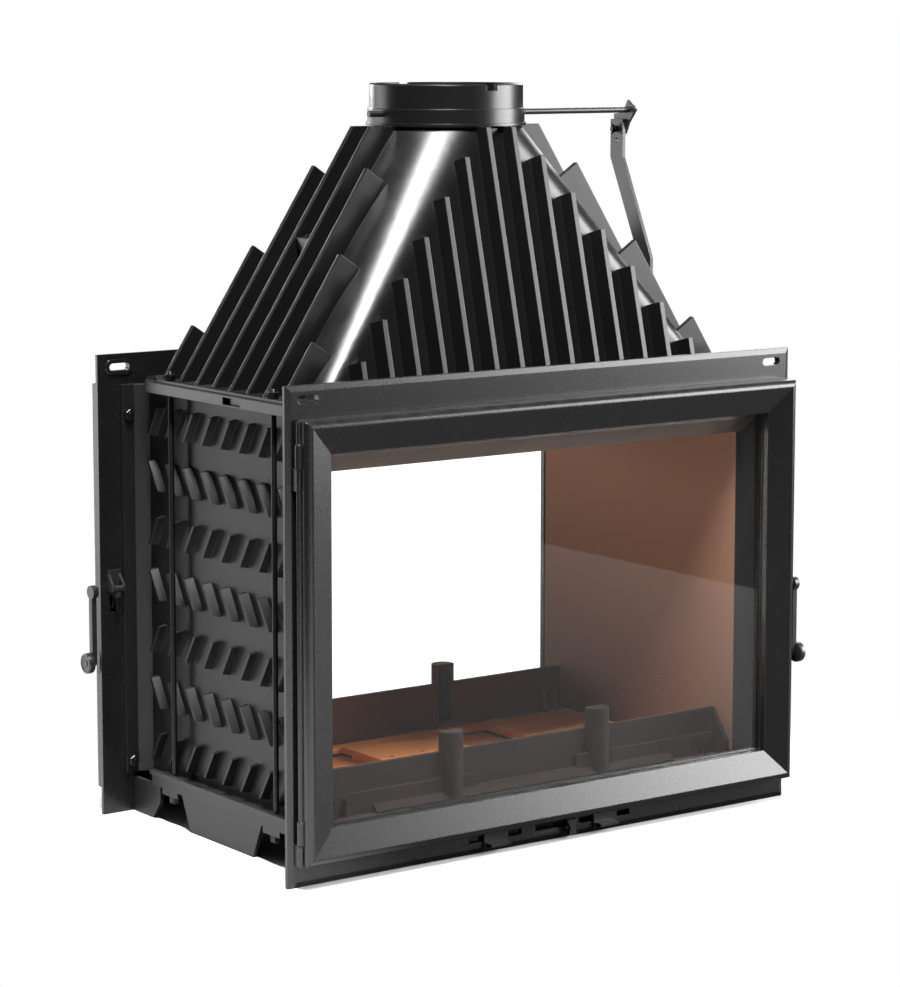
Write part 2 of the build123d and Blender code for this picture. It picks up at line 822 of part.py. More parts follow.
def damper_wing_nut():
    """The wing nut on the free end of the pivot bolt."""
    z = crank_pin_z
    x1 = crank_x - 2 * running_gap - link_thick
    hub = rod_along_x(bolt_diameter * 0.75, x1 - 5, x1, crank_pin_y, z)
    wing = prism_y([(x1 - 9, z + 8), (x1 - 2, z + 3), (x1 - 2, z - 3), (x1 - 9, z - 8), (x1 - 6, z)],
                   crank_pin_y - 1.2, crank_pin_y + 1.2)
    nut = hub + wing
    nut -= rod_along_x(bolt_diameter / 2 + pin_gap, x1 - 9, x1 + 1, crank_pin_y, z)
    return one(nut)


def tie_rods():
    rod_top = hood_low + nut_high + rod_over_nut
    return group([rod_along_z(rod_diameter / 2, x, y, rod_low, rod_top) for x, y in rod_places()])


def tie_rod_nuts():
    """A nut at each end of each tie rod."""
    nuts = []
    hexagon = RegularPolygon(nut_across / 2, 6, major_radius=False) - Circle(rod_diameter / 2 + pin_gap)
    for x, y in rod_places():
        for low in (lug_low - nut_high, hood_low):
            nuts.append(extrude(Plane.XY.offset(low) * Pos(x, y) * hexagon, nut_high))
    return group(nuts)


def facade_bolts():
    """Countersunk bolts through facade and wall flange, front and rear."""
    bolts = []
    deep = (facade_bolt_head - facade_bolt_diameter) / 2
    for x, z in facade_bolt_places():
        shank = rod_along_y(facade_bolt_diameter / 2, x, -outer_y + deep / 2, -outer_y + facade_bolt_long, z)
        bolts.append(shank + countersink(x, z, 0))
    return group(bolts + [turned(bolt) for bolt in bolts])


def facade_nuts():
    """The nuts behind the wall flanges."""
    nuts = []
    hexagon = RegularPolygon(nut_across / 2, 6, major_radius=False) - Circle(facade_bolt_diameter / 2 + pin_gap)
    for x, z in facade_bolt_places():
        plane = Plane.XZ.offset(inner_y - wall_thick - facade_nut_high)
        nuts.append(extrude(plane * Pos(x, z) * hexagon, facade_nut_high))
    return group(nuts + [turned(nut) for nut in nuts])


def frame_section():
    """The door rail: outer side, round, slope, sight edge, glass rebate and seal groove."""
    with BuildSketch() as section:
        with BuildLine():
            outer = Line((0, frame_back), (0, frame_side))
            crest = RadiusArc((0, frame_side), (frame_round, frame_crest), frame_round)
            Polyline((frame_round, frame_crest), (frame_wide, frame_sight), (frame_wide, rebate_out),
                     (rebate_from, rebate_out), (rebate_from, step_out), (step_from, step_out),
                     (step_from, frame_back), (seal_from + seal_wide, frame_back),
                     (seal_from + seal_wide, frame_back + seal_deep), (seal_from, frame_back + seal_deep),
                     (seal_from, frame_back), (0, frame_back))
        make_face()
    return section.sketch


def door_frame():
    """A mitred frame swept round the door, with hinge and latch details."""
    middle = (door_low + door_high) / 2
    start = (-door_x, -outer_y, middle)
    plane = Plane(origin=start, x_dir=(1, 0, 0), z_dir=(0, 0, 1))
    section = plane * mirror(frame_section(), about=Plane.XZ)
    path = Polyline(start, (-door_x, -outer_y, door_high), (door_x, -outer_y, door_high),
                    (door_x, -outer_y, door_low), (-door_x, -outer_y, door_low), start)
    frame = sweep(section, path=path, transition=Transition.RIGHT)
    frame -= block(-door_x - 1, -door_x + relief_wide, -outer_y - relief_out, -outer_y, door_low - 1, door_high + 1)
    frame += rod_along_z(bead_diameter / 2, -hinge_x, out(hinge_out), door_low + 1, door_high - 1)
    for z in (knuckle_low_z, knuckle_high_z):
        low = z - 4 * seat_gap - hinge_lug_high
        room_end = -hinge_x + hinge_lug_diameter / 2 + 1
        frame -= block(-hinge_x - bead_diameter, room_end, out(hinge_out + 5), -outer_y, low, z)
        frame += rod_along_z(knuckle_diameter / 2, -hinge_x, out(hinge_out), z, z + knuckle_high)
        frame -= rod_along_z(hinge_pin_diameter / 2 + pin_gap, -hinge_x, out(hinge_out), z - 1, z + knuckle_high - 3)
    notch_x = door_x - notch_deep
    frame -= block(notch_x, door_x + 1, out(frame_crest + 1), out(latch_out - 7), latch_z - notch_down,
                   latch_z + notch_up)
    pocket_x = door_x - pocket_from
    frame -= block(pocket_x - pocket_wide, pocket_x, out(latch_out + 8), -outer_y, latch_z - 18, latch_z + 9)
    frame -= rod_along_x(spindle_diameter / 2 + pin_gap, pocket_x - 1, door_x + 1, out(latch_out), latch_z)
    screw_end = out(step_out + clip_screw_deep + 1)
    for x, z in retainer_screw_places():
        frame -= rod_along_y(clip_screw_diameter / 2 + pin_gap, x, screw_end, out(step_out - 1), z)
    return one(frame)


def ring_plate(outer_inset, inner_inset, near, far):
    """A rectangular ring between two insets from the door's outer side."""
    width = 2 * door_x
    height = door_high - door_low
    middle = (door_high + door_low) / 2
    face = Rectangle(width - 2 * outer_inset, height - 2 * outer_inset)
    face -= Rectangle(width - 2 * inner_inset, height - 2 * inner_inset)
    return extrude(Plane.XZ.offset(outer_y + near) * Pos(0, middle) * face, far - near)


def door_seal():
    """The rope seal that closes the door against the facade."""
    ring = ring_plate(seal_from + running_gap, seal_from + seal_wide - running_gap, running_gap,
                      frame_back + seal_deep - pin_gap)
    return one(ring)


def glass():
    """The ceramic pane."""
    inset = rebate_from + 1.5
    width = 2 * (door_x - inset)
    height = door_high - door_low - 2 * inset
    middle = (door_high + door_low) / 2
    near = outer_y + rebate_out - ribbon_thick - glass_thick
    return one(extrude(Plane.XZ.offset(near) * Pos(0, middle) * Rectangle(width, height), glass_thick))


def glass_ribbon():
    """The flat seal between pane and frame."""
    return one(ring_plate(rebate_from + 1, frame_wide - 0.5, rebate_out - ribbon_thick, rebate_out))


def glass_retainer():
    """The steel frame that clamps the pane from behind."""
    ring = ring_plate(step_from + running_gap, frame_wide, step_out - retainer_thick, step_out)
    for x, z in retainer_screw_places():
        ring -= rod_along_y(clip_screw_diameter / 2 + pin_gap, x, out(12), -outer_y, z)
    return one(ring)


def retainer_screw_places():
    """Eight screws: two along each rail and two along each stile."""
    inset = (step_from + rebate_from) / 2
    side = door_x - inset
    middle = (door_high + door_low) / 2
    rise = (door_high - door_low) / 2 - inset
    along_rails = [(x, middle + s * rise) for x in (-side / 2, side / 2) for s in (-1, 1)]
    along_stiles = [(s * side, middle + z) for z in (-rise / 2, rise / 2) for s in (-1, 1)]
    return along_rails + along_stiles


def retainer_screws():
    """The screws of the clamping frame, heads towards the facade."""
    screws = []
    near = step_out - retainer_thick
    for x, z in retainer_screw_places():
        shank = rod_along_y(clip_screw_diameter / 2, x, out(step_out + clip_screw_deep), out(near), z)
        head = rod_along_y(clip_screw_diameter * 0.9, x, out(near), out(near - clip_head_high), z)
        screws.append(shank + head)
    return group(screws)


def latch_cam():
    """The spindle with the latch finger that reaches through the facade."""
    x1 = door_x - pocket_from - (pocket_wide - cam_thick) / 2
    x0 = x1 - cam_thick
    spindle = rod_along_x(spindle_diameter / 2, x0, lever_in + lever_thick, out(latch_out), latch_z)
    collar_in = door_x - notch_deep + running_gap
    collar = rod_along_x(spindle_diameter / 2 + 2, collar_in, lever_in, out(latch_out), latch_z)
    hub = rod_along_x(7, x0, x1, out(latch_out), latch_z)
    finger = prism_x([(out(latch_out), latch_z + cam_high / 2), (out(latch_out), latch_z - cam_high / 2),
                      (out(latch_out) + cam_reach - 4, latch_z - cam_high / 2),
                      (out(latch_out) + cam_reach, latch_z - cam_high / 4),
                      (out(latch_out) + cam_reach, latch_z + cam_high / 2)], x0, x1)
    return one(spindle + collar + hub + finger)


def handle_lever():
    """The outer lever: hub on the spindle and a flat bar hanging from it."""
    x0 = lever_in
    x1 = lever_in + lever_thick
    y = out(latch_out)
    lever = rod_along_x(lever_wide / 2 + 5, x0, x1, y, latch_z)
    lever += block(x0, x1, y - lever_wide / 2, y + lever_wide / 2, knob_z, latch_z)
    lever += rod_along_x(lever_wide / 2, x0, x1, y, knob_z)
    lever -= rod_along_x(spindle_diameter / 2 + pin_gap, x0 - 1, x1 + 1, y, latch_z)
    lever -= rod_along_x(knob_pin_diameter / 2 + pin_gap, x0 - 1, x1 + 1, y, knob_z)
    return one(lever)


def handle_knob():
    """The round pull at the foot of the lever."""
    x0 = lever_in + lever_thick
    y = out(latch_out)
    disc = rod_along_x(knob_radius, x0, x0 + knob_thick, y, knob_z)
    disc = fillet(disc.edges().filter_by(GeomType.CIRCLE), 1.5)
    pin = rod_along_x(knob_pin_diameter / 2, lever_in, x0 + 1, y, knob_z)
    return one(disc + pin)


def latch_keeper():
    """The bracket behind the facade with the pin that holds the latch finger."""
    middle = door_x - pocket_from - pocket_wide / 2
    x0 = middle - 10
    x1 = middle + 9
    pin_z = latch_z + cam_high / 2 + running_gap + 4
    pin_y = -inner_y + 11
    plate = block(x0, x1, -inner_y, -inner_y + 3, latch_z + cam_high, latch_z + cam_high + 24)
    ear = prism_x([(-inner_y, pin_z + 22), (-inner_y, latch_z + cam_high), (-inner_y + 8, pin_z - 5),
                   (-inner_y + 15, pin_z - 2), (-inner_y + 15, pin_z + 4)], x0, x0 + 3)
    pin = rod_along_x(4, x0, x1, pin_y, pin_z)
    return one(plate + ear + Pos(x1 - x0 - 3, 0, 0) * ear + pin)


def fascia(controls):
    """The panel under the door that fills the bay in the facade."""
    half = fascia_half
    profile = [(-inner_y, 0), (-outer_y + facade_chamfer_deep, 0), (-outer_y, facade_chamfer_wide),
               (-outer_y, fascia_high), (-inner_y, fascia_high)]
    panel = prism_x(profile, -half, half)
    ear = block(half - 10, half + 14, -inner_y, -inner_y + 3, facade_chamfer_wide, fascia_high - 6)
    panel += ear + mirror(ear, about=Plane.YZ)
    if controls:
        low = air_slot_z - air_slot_high / 2
        high = air_slot_z + air_slot_high / 2
        for x in (-air_slot_x, air_slot_x):
            panel -= block(x - air_slot_long / 2, x + air_slot_long / 2, -outer_y - 1, 0, low, high)
        reach = centre_slot_long / 2
        panel -= block(centre_slot_x - reach, centre_slot_x + reach, -outer_y - 1, 0, low, high)
        panel -= block(centre_slot_x - reach - 3, centre_slot_x + reach + 3, -outer_y - 1, -outer_y + 1.5,
                       low - 3, high + 3)
    return one(panel)


def air_slider(x):
    """Front plate with finger tab, stem through the slot and shutter behind."""
    low = air_slot_z - shutter_high * 0.7
    high = low + shutter_high
    near = out(running_gap)
    plate = block(x - shutter_wide / 2, x + shutter_wide / 2, near - shutter_thick, near, low, high)
    tab = prism_x([(near - shutter_thick, low + 1), (near - shutter_thick, low + 1 + tab_high),
                   (near - tab_reach, low + 1 + tab_high), (near - tab_reach, low + 3)],
                  x - tab_wide / 2, x + tab_wide / 2)
    stem_half = air_slot_high / 2 - running_gap
    stem = block(x - 5, x + 5, near, -inner_y + running_gap, air_slot_z - stem_half, air_slot_z + stem_half)
    back = block(x - shutter_wide / 2, x + shutter_wide / 2, -inner_y + running_gap,
                 -inner_y + running_gap + shutter_thick, air_slot_z - 7, air_slot_z + 7)
    return one(plate + tab + stem + back)


def centre_air_lever():
    """The flared pull that slides in the middle slot."""
    x = centre_slot_x + centre_slot_long / 2 - 5
    near = out(running_gap)
    stem_half = air_slot_high / 2 - running_gap
    stem = block(x - 3, x + 3, near - 4, -inner_y + running_gap, air_slot_z - stem_half, air_slot_z + stem_half)
    outline = [(x - 9, air_slot_z + 6), (x + 8, air_slot_z + 6), (x + 4, air_slot_z - 4), (x + 7, air_slot_z - 14),
               (x - 6, air_slot_z - 14), (x - 3, air_slot_z - 4)]
    head = prism_y(outline, near - 9, near - 4)
    back = block(x - 14, x + 14, -inner_y + running_gap, -inner_y + running_gap + shutter_thick,
                 air_slot_z - 7, air_slot_z + 7)
    return one(stem + head + back)


def hearth_plate():
    """The cast floor plate round the fire pit."""
    half_x = inside_x - seat_gap
    half_y = inner_y - jamb_deep - seat_gap
    plate = block(-half_x, half_x, -half_y, half_y, deck_high, hearth_z)
    return one(plate - hearth_opening(deck_high - 1, hearth_z + 1, 0))


def grate():
    """The centre grate: a perforated plate on four skirts."""
    half_x = grate_width / 2 - seat_gap
    half_y = grate_half_y - seat_gap
    body = block(-half_x, half_x, -half_y, half_y, pit_floor_high, hearth_z)
    body -= block(-half_x + pit_wall, half_x - pit_wall, -half_y + pit_wall, half_y - pit_wall,
                  pit_floor_high - 1, hearth_z - grate_skin)
    for column in (-1, 0, 1):
        for row in (-1, 0, 1):
            hole_x = column * grate_pitch_x
            body -= rod_along_z(grate_hole / 2, hole_x, row * grate_pitch_y, pit_floor_high, hearth_z + 1)
    return one(body)


def ash_pan():
    """The removable tray under the grate."""
    half_x = well_width / 2 - pan_gap
    half_y = well_half_y - pan_gap
    low = well_low + pit_wall
    high = pit_floor_high - pan_gap
    pan = block(-half_x, half_x, -half_y, half_y, low, high)
    pan -= block(-half_x + pan_wall, half_x - pan_wall, -half_y + pan_wall, half_y - pan_wall,
                 low + pan_wall, high + 1)
    return one(pan)


def guard_post(x):
    """A half-round post that stands over the guard."""
    back = -guard_y + guard_thick
    post = rod_along_z(post_radius, x, -guard_y, hearth_z, post_high)
    return post - block(x - 2 * post_radius, x + 2 * post_radius, back, back + 2 * post_radius,
                        hearth_z - 1, post_high + 1)


def guard_post_hollow(x):
    """The channel in a post, open to the fire and closed at both ends."""
    inner = post_radius - post_wall
    back = -guard_y + guard_thick
    low = hearth_z + post_wall
    high = post_high - post_wall
    hollow = rod_along_z(inner, x, -guard_y, low, high)
    return hollow + block(x - inner, x + inner, -guard_y, back + 1, low, high)


def guard_bracket(x):
    """Two lugs on the fire side and the two ribs that meet them on the air side."""
    back = -guard_y + guard_thick
    pair = Part()
    for edge in (x - bracket_wide / 2, x + bracket_wide / 2):
        x0 = edge - bracket_thick / 2
        x1 = edge + bracket_thick / 2
        pair += block(x0, x1, back - 1, back + bracket_deep, hearth_z, hearth_z + bracket_high)
        rib_face = -guard_y - guard_ledge_out
        pair += block(x0 + 0.5, x1 - 0.5, rib_face - guard_ledge_out, rib_face, hearth_z, guard_ledge_z - 6)
    return pair


def log_guard():
    """The front log guard: plate, broken ledge, sloped skirt, posts and end cheeks."""
    face = -guard_y
    guard = block(-guard_half, guard_half, face, face + guard_thick, hearth_z, guard_high)
    ledge = block(guard_plain_half, guard_half, face - guard_ledge_out, face, hearth_z, guard_ledge_z)
    low_face = block(-guard_half, guard_half, face - guard_ledge_out, face, hearth_z, guard_skirt_z + 1)
    guard += ledge + mirror(ledge, about=Plane.YZ) + low_face
    skirt_half = guard_half - guard_skirt_short
    skirt_foot = face - guard_skirt_out
    skirt_root = face - guard_ledge_out + 1
    guard += prism_x([(skirt_root, hearth_z), (skirt_foot, hearth_z), (skirt_foot, hearth_z + guard_skirt_edge),
                      (skirt_root, guard_skirt_z)], -skirt_half, skirt_half)
    for x in (-post_x, post_x):
        guard += guard_post(x)
    for x in (-post_x, post_x):
        guard -= guard_post_hollow(x)
    bracket = guard_bracket(guard_half - bracket_from_end - bracket_wide / 2)
    guard += bracket + mirror(bracket, about=Plane.YZ)
    cheek = prism_x([(face, hearth_z), (face - cheek_reach, hearth_z), (face - cheek_reach, guard_high - cheek_drop),
                     (face, guard_high)], guard_half - guard_thick, guard_half)
    guard += cheek + mirror(cheek, about=Plane.YZ)
    return one(guard)


def air_deflector():
    """The strip that turns the air wash down over the glass, its ends mitred to the jambs."""
    thick = deflector_thick
    y = -inner_y
    low = mouth_high - deflector_low_drop
    knee = mouth_high - deflector_knee_drop
    high = mouth_high + deflector_rise
    outline = [(y, high), (y, knee), (y + deflector_lean, low), (y + deflector_lean + thick, low),
               (y + thick, knee + 2), (y + thick, high)]
    strip = prism_x(outline, -mouth_x, mouth_x)
    end = inside_x - seat_gap
    flare = mouth_x - seat_gap
    far = y + deflector_lean + thick + 1
    past = jamb_flare * (far - y - jamb_deep) / jamb_deep
    cut = prism_z([(flare, y), (mouth_x + 1, y - 1), (mouth_x + 1, far), (end - past, far)], low - 1, high + 1)
    return one(strip - cut - mirror(cut, about=Plane.YZ))


def smoke_baffle():
    """The plate that lies under the neck on two lugs."""
    plate = block(-baffle_half_x, baffle_half_x, -baffle_half_y, baffle_half_y, top_high, top_high + baffle_thick)
    return one(plate)


def build():
    """Every node of the insert and its solids."""
    front = {
        "facade": facade(), "hinge_pins": hinge_pins(), "door_frame": door_frame(), "glass": glass(),
        "glass_ribbon": glass_ribbon(), "glass_retainer": glass_retainer(), "retainer_screws": retainer_screws(),
        "door_seal": door_seal(), "latch_cam": latch_cam(), "handle_lever": handle_lever(),
        "handle_knob": handle_knob(), "latch_keeper": latch_keeper(), "log_guard": log_guard(),
        "air_deflector": air_deflector(),
    }
    nodes = {}
    for name, shape in front.items():
        nodes["front_" + name] = shape
        nodes["rear_" + name] = turned(shape)
    right = side_wall()
    nodes["right_side_wall"] = right
    nodes["left_side_wall"] = turned(right)
    jambs = wall_jambs()
    nodes["right_wall_jambs"] = jambs
    nodes["left_wall_jambs"] = turned(jambs)
    nodes["front_fascia"] = fascia(True)
    nodes["rear_fascia"] = turned(fascia(False))
    nodes["left_air_slider"] = air_slider(-air_slot_x)
    nodes["right_air_slider"] = air_slider(air_slot_x)
    nodes["centre_air_lever"] = centre_air_lever()
    single = {
        "base_casting": base_casting, "top_plate": top_plate, "hood": hood, "hood_screws": hood_screws,
        "flue_collar": flue_collar, "damper_axle": damper_axle, "damper_plate": damper_plate,
        "damper_screws": damper_screws, "damper_crank": damper_crank, "damper_crank_nut": damper_crank_nut,
        "damper_link": damper_link, "damper_link_bolt": damper_link_bolt, "damper_wing_nut": damper_wing_nut,
        "tie_rods": tie_rods, "tie_rod_nuts": tie_rod_nuts, "facade_bolts": facade_bolts,
        "facade_nuts": facade_nuts, "hearth_plate": hearth_plate, "grate": grate, "ash_box": ash_box,
        "ash_pan": ash_pan, "smoke_baffle": smoke_baffle,
    }
    for name, make in single.items():
        nodes[name] = make()
    return nodes


os.makedirs("parts", exist_ok=True)
for name, shape in build().items():
    export_step(shape, "parts/" + name + ".step")
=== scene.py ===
import math

import bpy
from mathutils import Matrix, Vector


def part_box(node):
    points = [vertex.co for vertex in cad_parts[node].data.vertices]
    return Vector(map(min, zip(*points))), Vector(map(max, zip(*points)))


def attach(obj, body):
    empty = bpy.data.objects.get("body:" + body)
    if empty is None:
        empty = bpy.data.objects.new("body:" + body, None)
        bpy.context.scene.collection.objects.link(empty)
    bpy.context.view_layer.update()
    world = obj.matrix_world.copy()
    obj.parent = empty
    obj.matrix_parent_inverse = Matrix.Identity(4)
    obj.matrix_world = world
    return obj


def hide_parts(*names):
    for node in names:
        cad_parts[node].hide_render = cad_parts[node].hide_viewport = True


bl_info = {
    "name": "Fireplace insert looks",
    "version": (1, 0, 0),
    "blender": (4, 5, 0),
    "location": "3D View > Sidebar > Insert",
    "description": "Finishes, small fittings and studio for a double-sided cast-iron fireplace insert",
    "category": "Object",
}

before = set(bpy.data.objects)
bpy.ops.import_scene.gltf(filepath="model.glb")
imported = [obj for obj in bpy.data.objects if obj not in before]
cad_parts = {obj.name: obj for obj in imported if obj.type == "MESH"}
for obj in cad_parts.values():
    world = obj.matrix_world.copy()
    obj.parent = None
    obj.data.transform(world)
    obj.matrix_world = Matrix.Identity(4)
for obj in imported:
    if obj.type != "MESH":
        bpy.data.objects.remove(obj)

MM = 0.001

# Sizes of the fittings, in millimetres.
NUT_ACROSS = 13.0
ROD_NUT_BORE, ROD_NUT_HIGH = 7.6, 9.0
BOLT_NUT_BORE, BOLT_NUT_HIGH = 8.1, 7.0
ROD_RADIUS = 3.75
THREAD_LONG, THREAD_PITCH, THREAD_DEEP = 16.0, 1.25, 0.5
THREAD_START, THREAD_RUNOUT, ROD_CHAMFER = 1.0, 0.5, 0.8
KNOB_THICK = 9.0
# The knob's turned profile past its lever: (radius, height) from the stem to the rim and the middle screw.
KNOB_PROFILE = [(12.0, 0.0), (13.1, 0.5), (13.5, 1.6), (13.5, 7.3), (13.1, 8.5), (12.2, 9.0), (10.9, 9.0),
                (10.2, 8.3), (4.4, 7.9), (4.3, 8.6), (3.8, 8.95)]
KNOB_STEM_RADIUS = 2.95

# Shares: of a rod's radius at its tip, chamfer and shank, and of a thread's turn at its root and crest.
ROD_TIP, ROD_SHOULDER, ROD_SHANK = 0.75, 0.95, 0.94
THREAD_ROOT_AT, THREAD_CREST_AT = 0.15, 0.6
# Shares: a nut's rim of its corner radius, and its chamfer of its width across the flats.
NUT_RIM, NUT_CHAMFER = 0.88, 0.06

# Angles in degrees: how the rods' lower and upper nuts are turned, and the sharpest edge that is smoothed.
NUT_TURN_LOW, NUT_TURN_HIGH = 12.0, 30.0
SMOOTH_ANGLE = 32.0

# The sockets of a Mix node that carry colours.
MIX_FIRST, MIX_SECOND, MIX_RESULT = 6, 7, 2

# Where the firebox shows its heat colour: nearer the middle than these, in metres.
WALL_FACE, HEARTH_REACH, GUARD_BACK = 0.3245, 0.155, 0.1668
# It keeps its full colour above the full-tone height, and turns darker towards the bottom over the fade below
# it.
LOW_DARKENING_FADE = 0.35
WALL_FULL_TONE_HEIGHT, FLOOR_FULL_TONE_HEIGHT = 0.42, 0.0

# The insert's half sizes in plan, with a little room, for the floor's shadow.
PLAN_HALF_WIDE, PLAN_HALF_DEEP = 0.40, 0.235

# Each softbox: its name, place, target, width, height, power setting and the way its height runs.
SOFTBOXES = [
    ("key softbox", (3.6, -2.2, 1.6), (0.0, 0.0, 0.5), 2.9, 2.6, "key_power", (0.0, 0.0, 1.0)),
    ("corner strip", (-1.03, -1.28, 3.58), (-0.2, -0.1, 0.75), 0.24, 1.7, "strip_power",
     (-0.121, 0.873, 0.473)),
    ("low side softbox", (-2.2, 3.6, 0.7), (-0.3, 0.0, 0.4), 1.8, 2.0, "side_power", (0.0, 0.0, 1.0)),
    ("rear softbox", (0.15, 2.8, 1.3), (-0.05, 0.0, 0.15), 0.7, 0.8, "rear_power", (0.0, 0.0, 1.0)),
    ("rim softbox", (3.0, 2.4, 2.4), (0.0, 0.0, 0.6), 1.4, 2.0, "rim_power", (0.0, 0.0, 1.0)),
]

# The camera of the photograph.
CAMERA_PLACE = (-2.3596, -3.25057, 1.0168)
CAMERA_DOWN, CAMERA_TURN = 7.532, -35.8103
CAMERA_LENS, CAMERA_SHIFT = 112.276, (0.01315, -0.05)

# The nodes of the frame, grouped by the finish they take.
CAST = ["front_facade", "rear_facade", "front_door_frame", "rear_door_frame", "front_fascia", "rear_fascia"]
HOOD = ["hood", "flue_collar", "top_plate"]
SHELL = ["left_side_wall", "right_side_wall", "left_wall_jambs", "right_wall_jambs"]
BASE = ["base_casting"]
HEARTH = ["hearth_plate", "grate", "ash_box"]
GUARDS = ["front_log_guard", "rear_log_guard"]
STEEL = ["front_glass_retainer", "rear_glass_retainer", "front_retainer_screws", "rear_retainer_screws",
         "front_latch_cam", "rear_latch_cam", "front_latch_keeper", "rear_latch_keeper", "ash_pan",
         "damper_axle", "damper_crank", "damper_link", "left_air_slider", "right_air_slider",
         "centre_air_lever", "front_handle_lever", "rear_handle_lever", "front_handle_knob",
         "rear_handle_knob"]
BAFFLES = ["front_air_deflector", "rear_air_deflector", "smoke_baffle", "damper_plate"]
FASTENERS = ["front_hinge_pins", "rear_hinge_pins", "hood_screws", "damper_screws", "damper_crank_nut",
             "damper_link_bolt", "damper_wing_nut", "tie_rods", "tie_rod_nuts", "facade_bolts", "facade_nuts"]
GLASS = ["front_glass", "rear_glass"]
SEALS = ["front_door_seal", "rear_door_seal", "front_glass_ribbon", "rear_glass_ribbon"]


# Shader building

def new_group(name, inputs, outputs):
    """A shader node group with its sockets; gives it and its input and output nodes."""
    group = bpy.data.node_groups.new(name, "ShaderNodeTree")
    for label, kind, value in inputs:
        socket = group.interface.new_socket(name=label, in_out="INPUT", socket_type=kind)
        socket.default_value = value
    for label, kind in outputs:
        group.interface.new_socket(name=label, in_out="OUTPUT", socket_type=kind)
    start = group.nodes.new("NodeGroupInput")
    end = group.nodes.new("NodeGroupOutput")
    return group, start, end


def put(tree, kind, **values):
    """A node with its settings."""
    node = tree.nodes.new(kind)
    for key, value in values.items():
        setattr(node, key, value)
    return node


def sums(tree, how, first, second=None):
    """A Math node on two values or sockets; gives its output."""
    node = put(tree, "ShaderNodeMath", operation=how)
    for index, value in enumerate((first, second)):
        if value is None:
            continue
        if isinstance(value, (int, float)):
            node.inputs[index].default_value = value
        else:
            tree.links.new(value, node.inputs[index])
    return node.outputs[0]


def spread(tree, value, low, high, to_low=0.0, to_high=1.0):
    """A Map Range node; gives its output."""
    node = put(tree, "ShaderNodeMapRange")
    tree.links.new(value, node.inputs["Value"])
    node.inputs["From Min"].default_value = low
    node.inputs["From Max"].default_value = high
    node.inputs["To Min"].default_value = to_low
    node.inputs["To Max"].default_value = to_high
    return node.outputs["Result"]


def cast_grain_group():
    """Sand-cast skin: fine grain, soft hollows and a slow tone change."""
    group, start, end = new_group(
        "Cast grain",
        [("Grain size", "NodeSocketFloat", 900.0), ("Hollow size", "NodeSocketFloat", 60.0)],
        [("Height", "NodeSocketFloat"), ("Tone", "NodeSocketFloat"), ("Speckle", "NodeSocketFloat")])
    coords = put(group, "ShaderNodeTexCoord")
    fine = put(group, "ShaderNodeTexNoise", noise_dimensions="3D")
    fine.inputs["Detail"].default_value = 3.0
    fine.inputs["Roughness"].default_value = 0.6
    slow = put(group, "ShaderNodeTexNoise")
    slow.inputs["Detail"].default_value = 4.0
    broad = put(group, "ShaderNodeTexNoise")
    broad.inputs["Scale"].default_value = 9.0
    broad.inputs["Detail"].default_value = 3.0
    for node in (fine, slow, broad):
        group.links.new(coords.outputs["Object"], node.inputs["Vector"])
    group.links.new(start.outputs["Grain size"], fine.inputs["Scale"])
    group.links.new(start.outputs["Hollow size"], slow.inputs["Scale"])
    height = sums(group, "ADD", sums(group, "MULTIPLY", fine.outputs["Fac"], 0.35),
                  sums(group, "MULTIPLY", slow.outputs["Fac"], 1.0))
    group.links.new(height, end.inputs["Height"])
    group.links.new(broad.outputs["Fac"], end.inputs["Tone"])
    group.links.new(fine.outputs["Fac"], end.inputs["Speckle"])
    return group


def soft_edge_group():
    """Rounded edges as a normal, and a mask of where those edges are."""
    group, start, end = new_group(
        "Soft edge",
        [("Radius", "NodeSocketFloat", 0.0012)],
        [("Normal", "NodeSocketVector"), ("Edge", "NodeSocketFloat")])
    bevel = put(group, "ShaderNodeBevel", samples=4)
    group.links.new(start.outputs["Radius"], bevel.inputs["Radius"])
    shape = put(group, "ShaderNodeNewGeometry")
    dot = put(group, "ShaderNodeVectorMath", operation="DOT_PRODUCT")
    group.links.new(bevel.outputs["Normal"], dot.inputs[0])
    group.links.new(shape.outputs["True Normal"], dot.inputs[1])
    edge = spread(group, dot.outputs["Value"], 0.995, 0.8)
    group.links.new(bevel.outputs["Normal"], end.inputs["Normal"])
    group.links.new(edge, end.inputs["Edge"])
    return group


def dust_group():
    """A thin film on faces that look up, broken by noise."""
    group, start, end = new_group(
        "Dust",
        [("Amount", "NodeSocketFloat", 0.3)],
        [("Film", "NodeSocketFloat")])
    shape = put(group, "ShaderNodeNewGeometry")
    split = put(group, "ShaderNodeSeparateXYZ")
    group.links.new(shape.outputs["Normal"], split.inputs[0])
    up = spread(group, split.outputs["Z"], 0.4, 1.0)
    coords = put(group, "ShaderNodeTexCoord")
    noise = put(group, "ShaderNodeTexNoise")
    noise.inputs["Scale"].default_value = 35.0
    noise.inputs["Detail"].default_value = 5.0
    group.links.new(coords.outputs["Object"], noise.inputs["Vector"])
    broken = spread(group, noise.outputs["Fac"], 0.35, 0.7)
    film = sums(group, "MULTIPLY", sums(group, "MULTIPLY", up, broken), start.outputs["Amount"])
    group.links.new(film, end.inputs["Film"])
    return group


GROUPS = {}


def shared(name):
    """The shared shader group of that name, made once."""
    makers = {"Cast grain": cast_grain_group, "Soft edge": soft_edge_group, "Dust": dust_group}
    if name not in GROUPS:
        GROUPS[name] = makers[name]()
    return GROUPS[name]


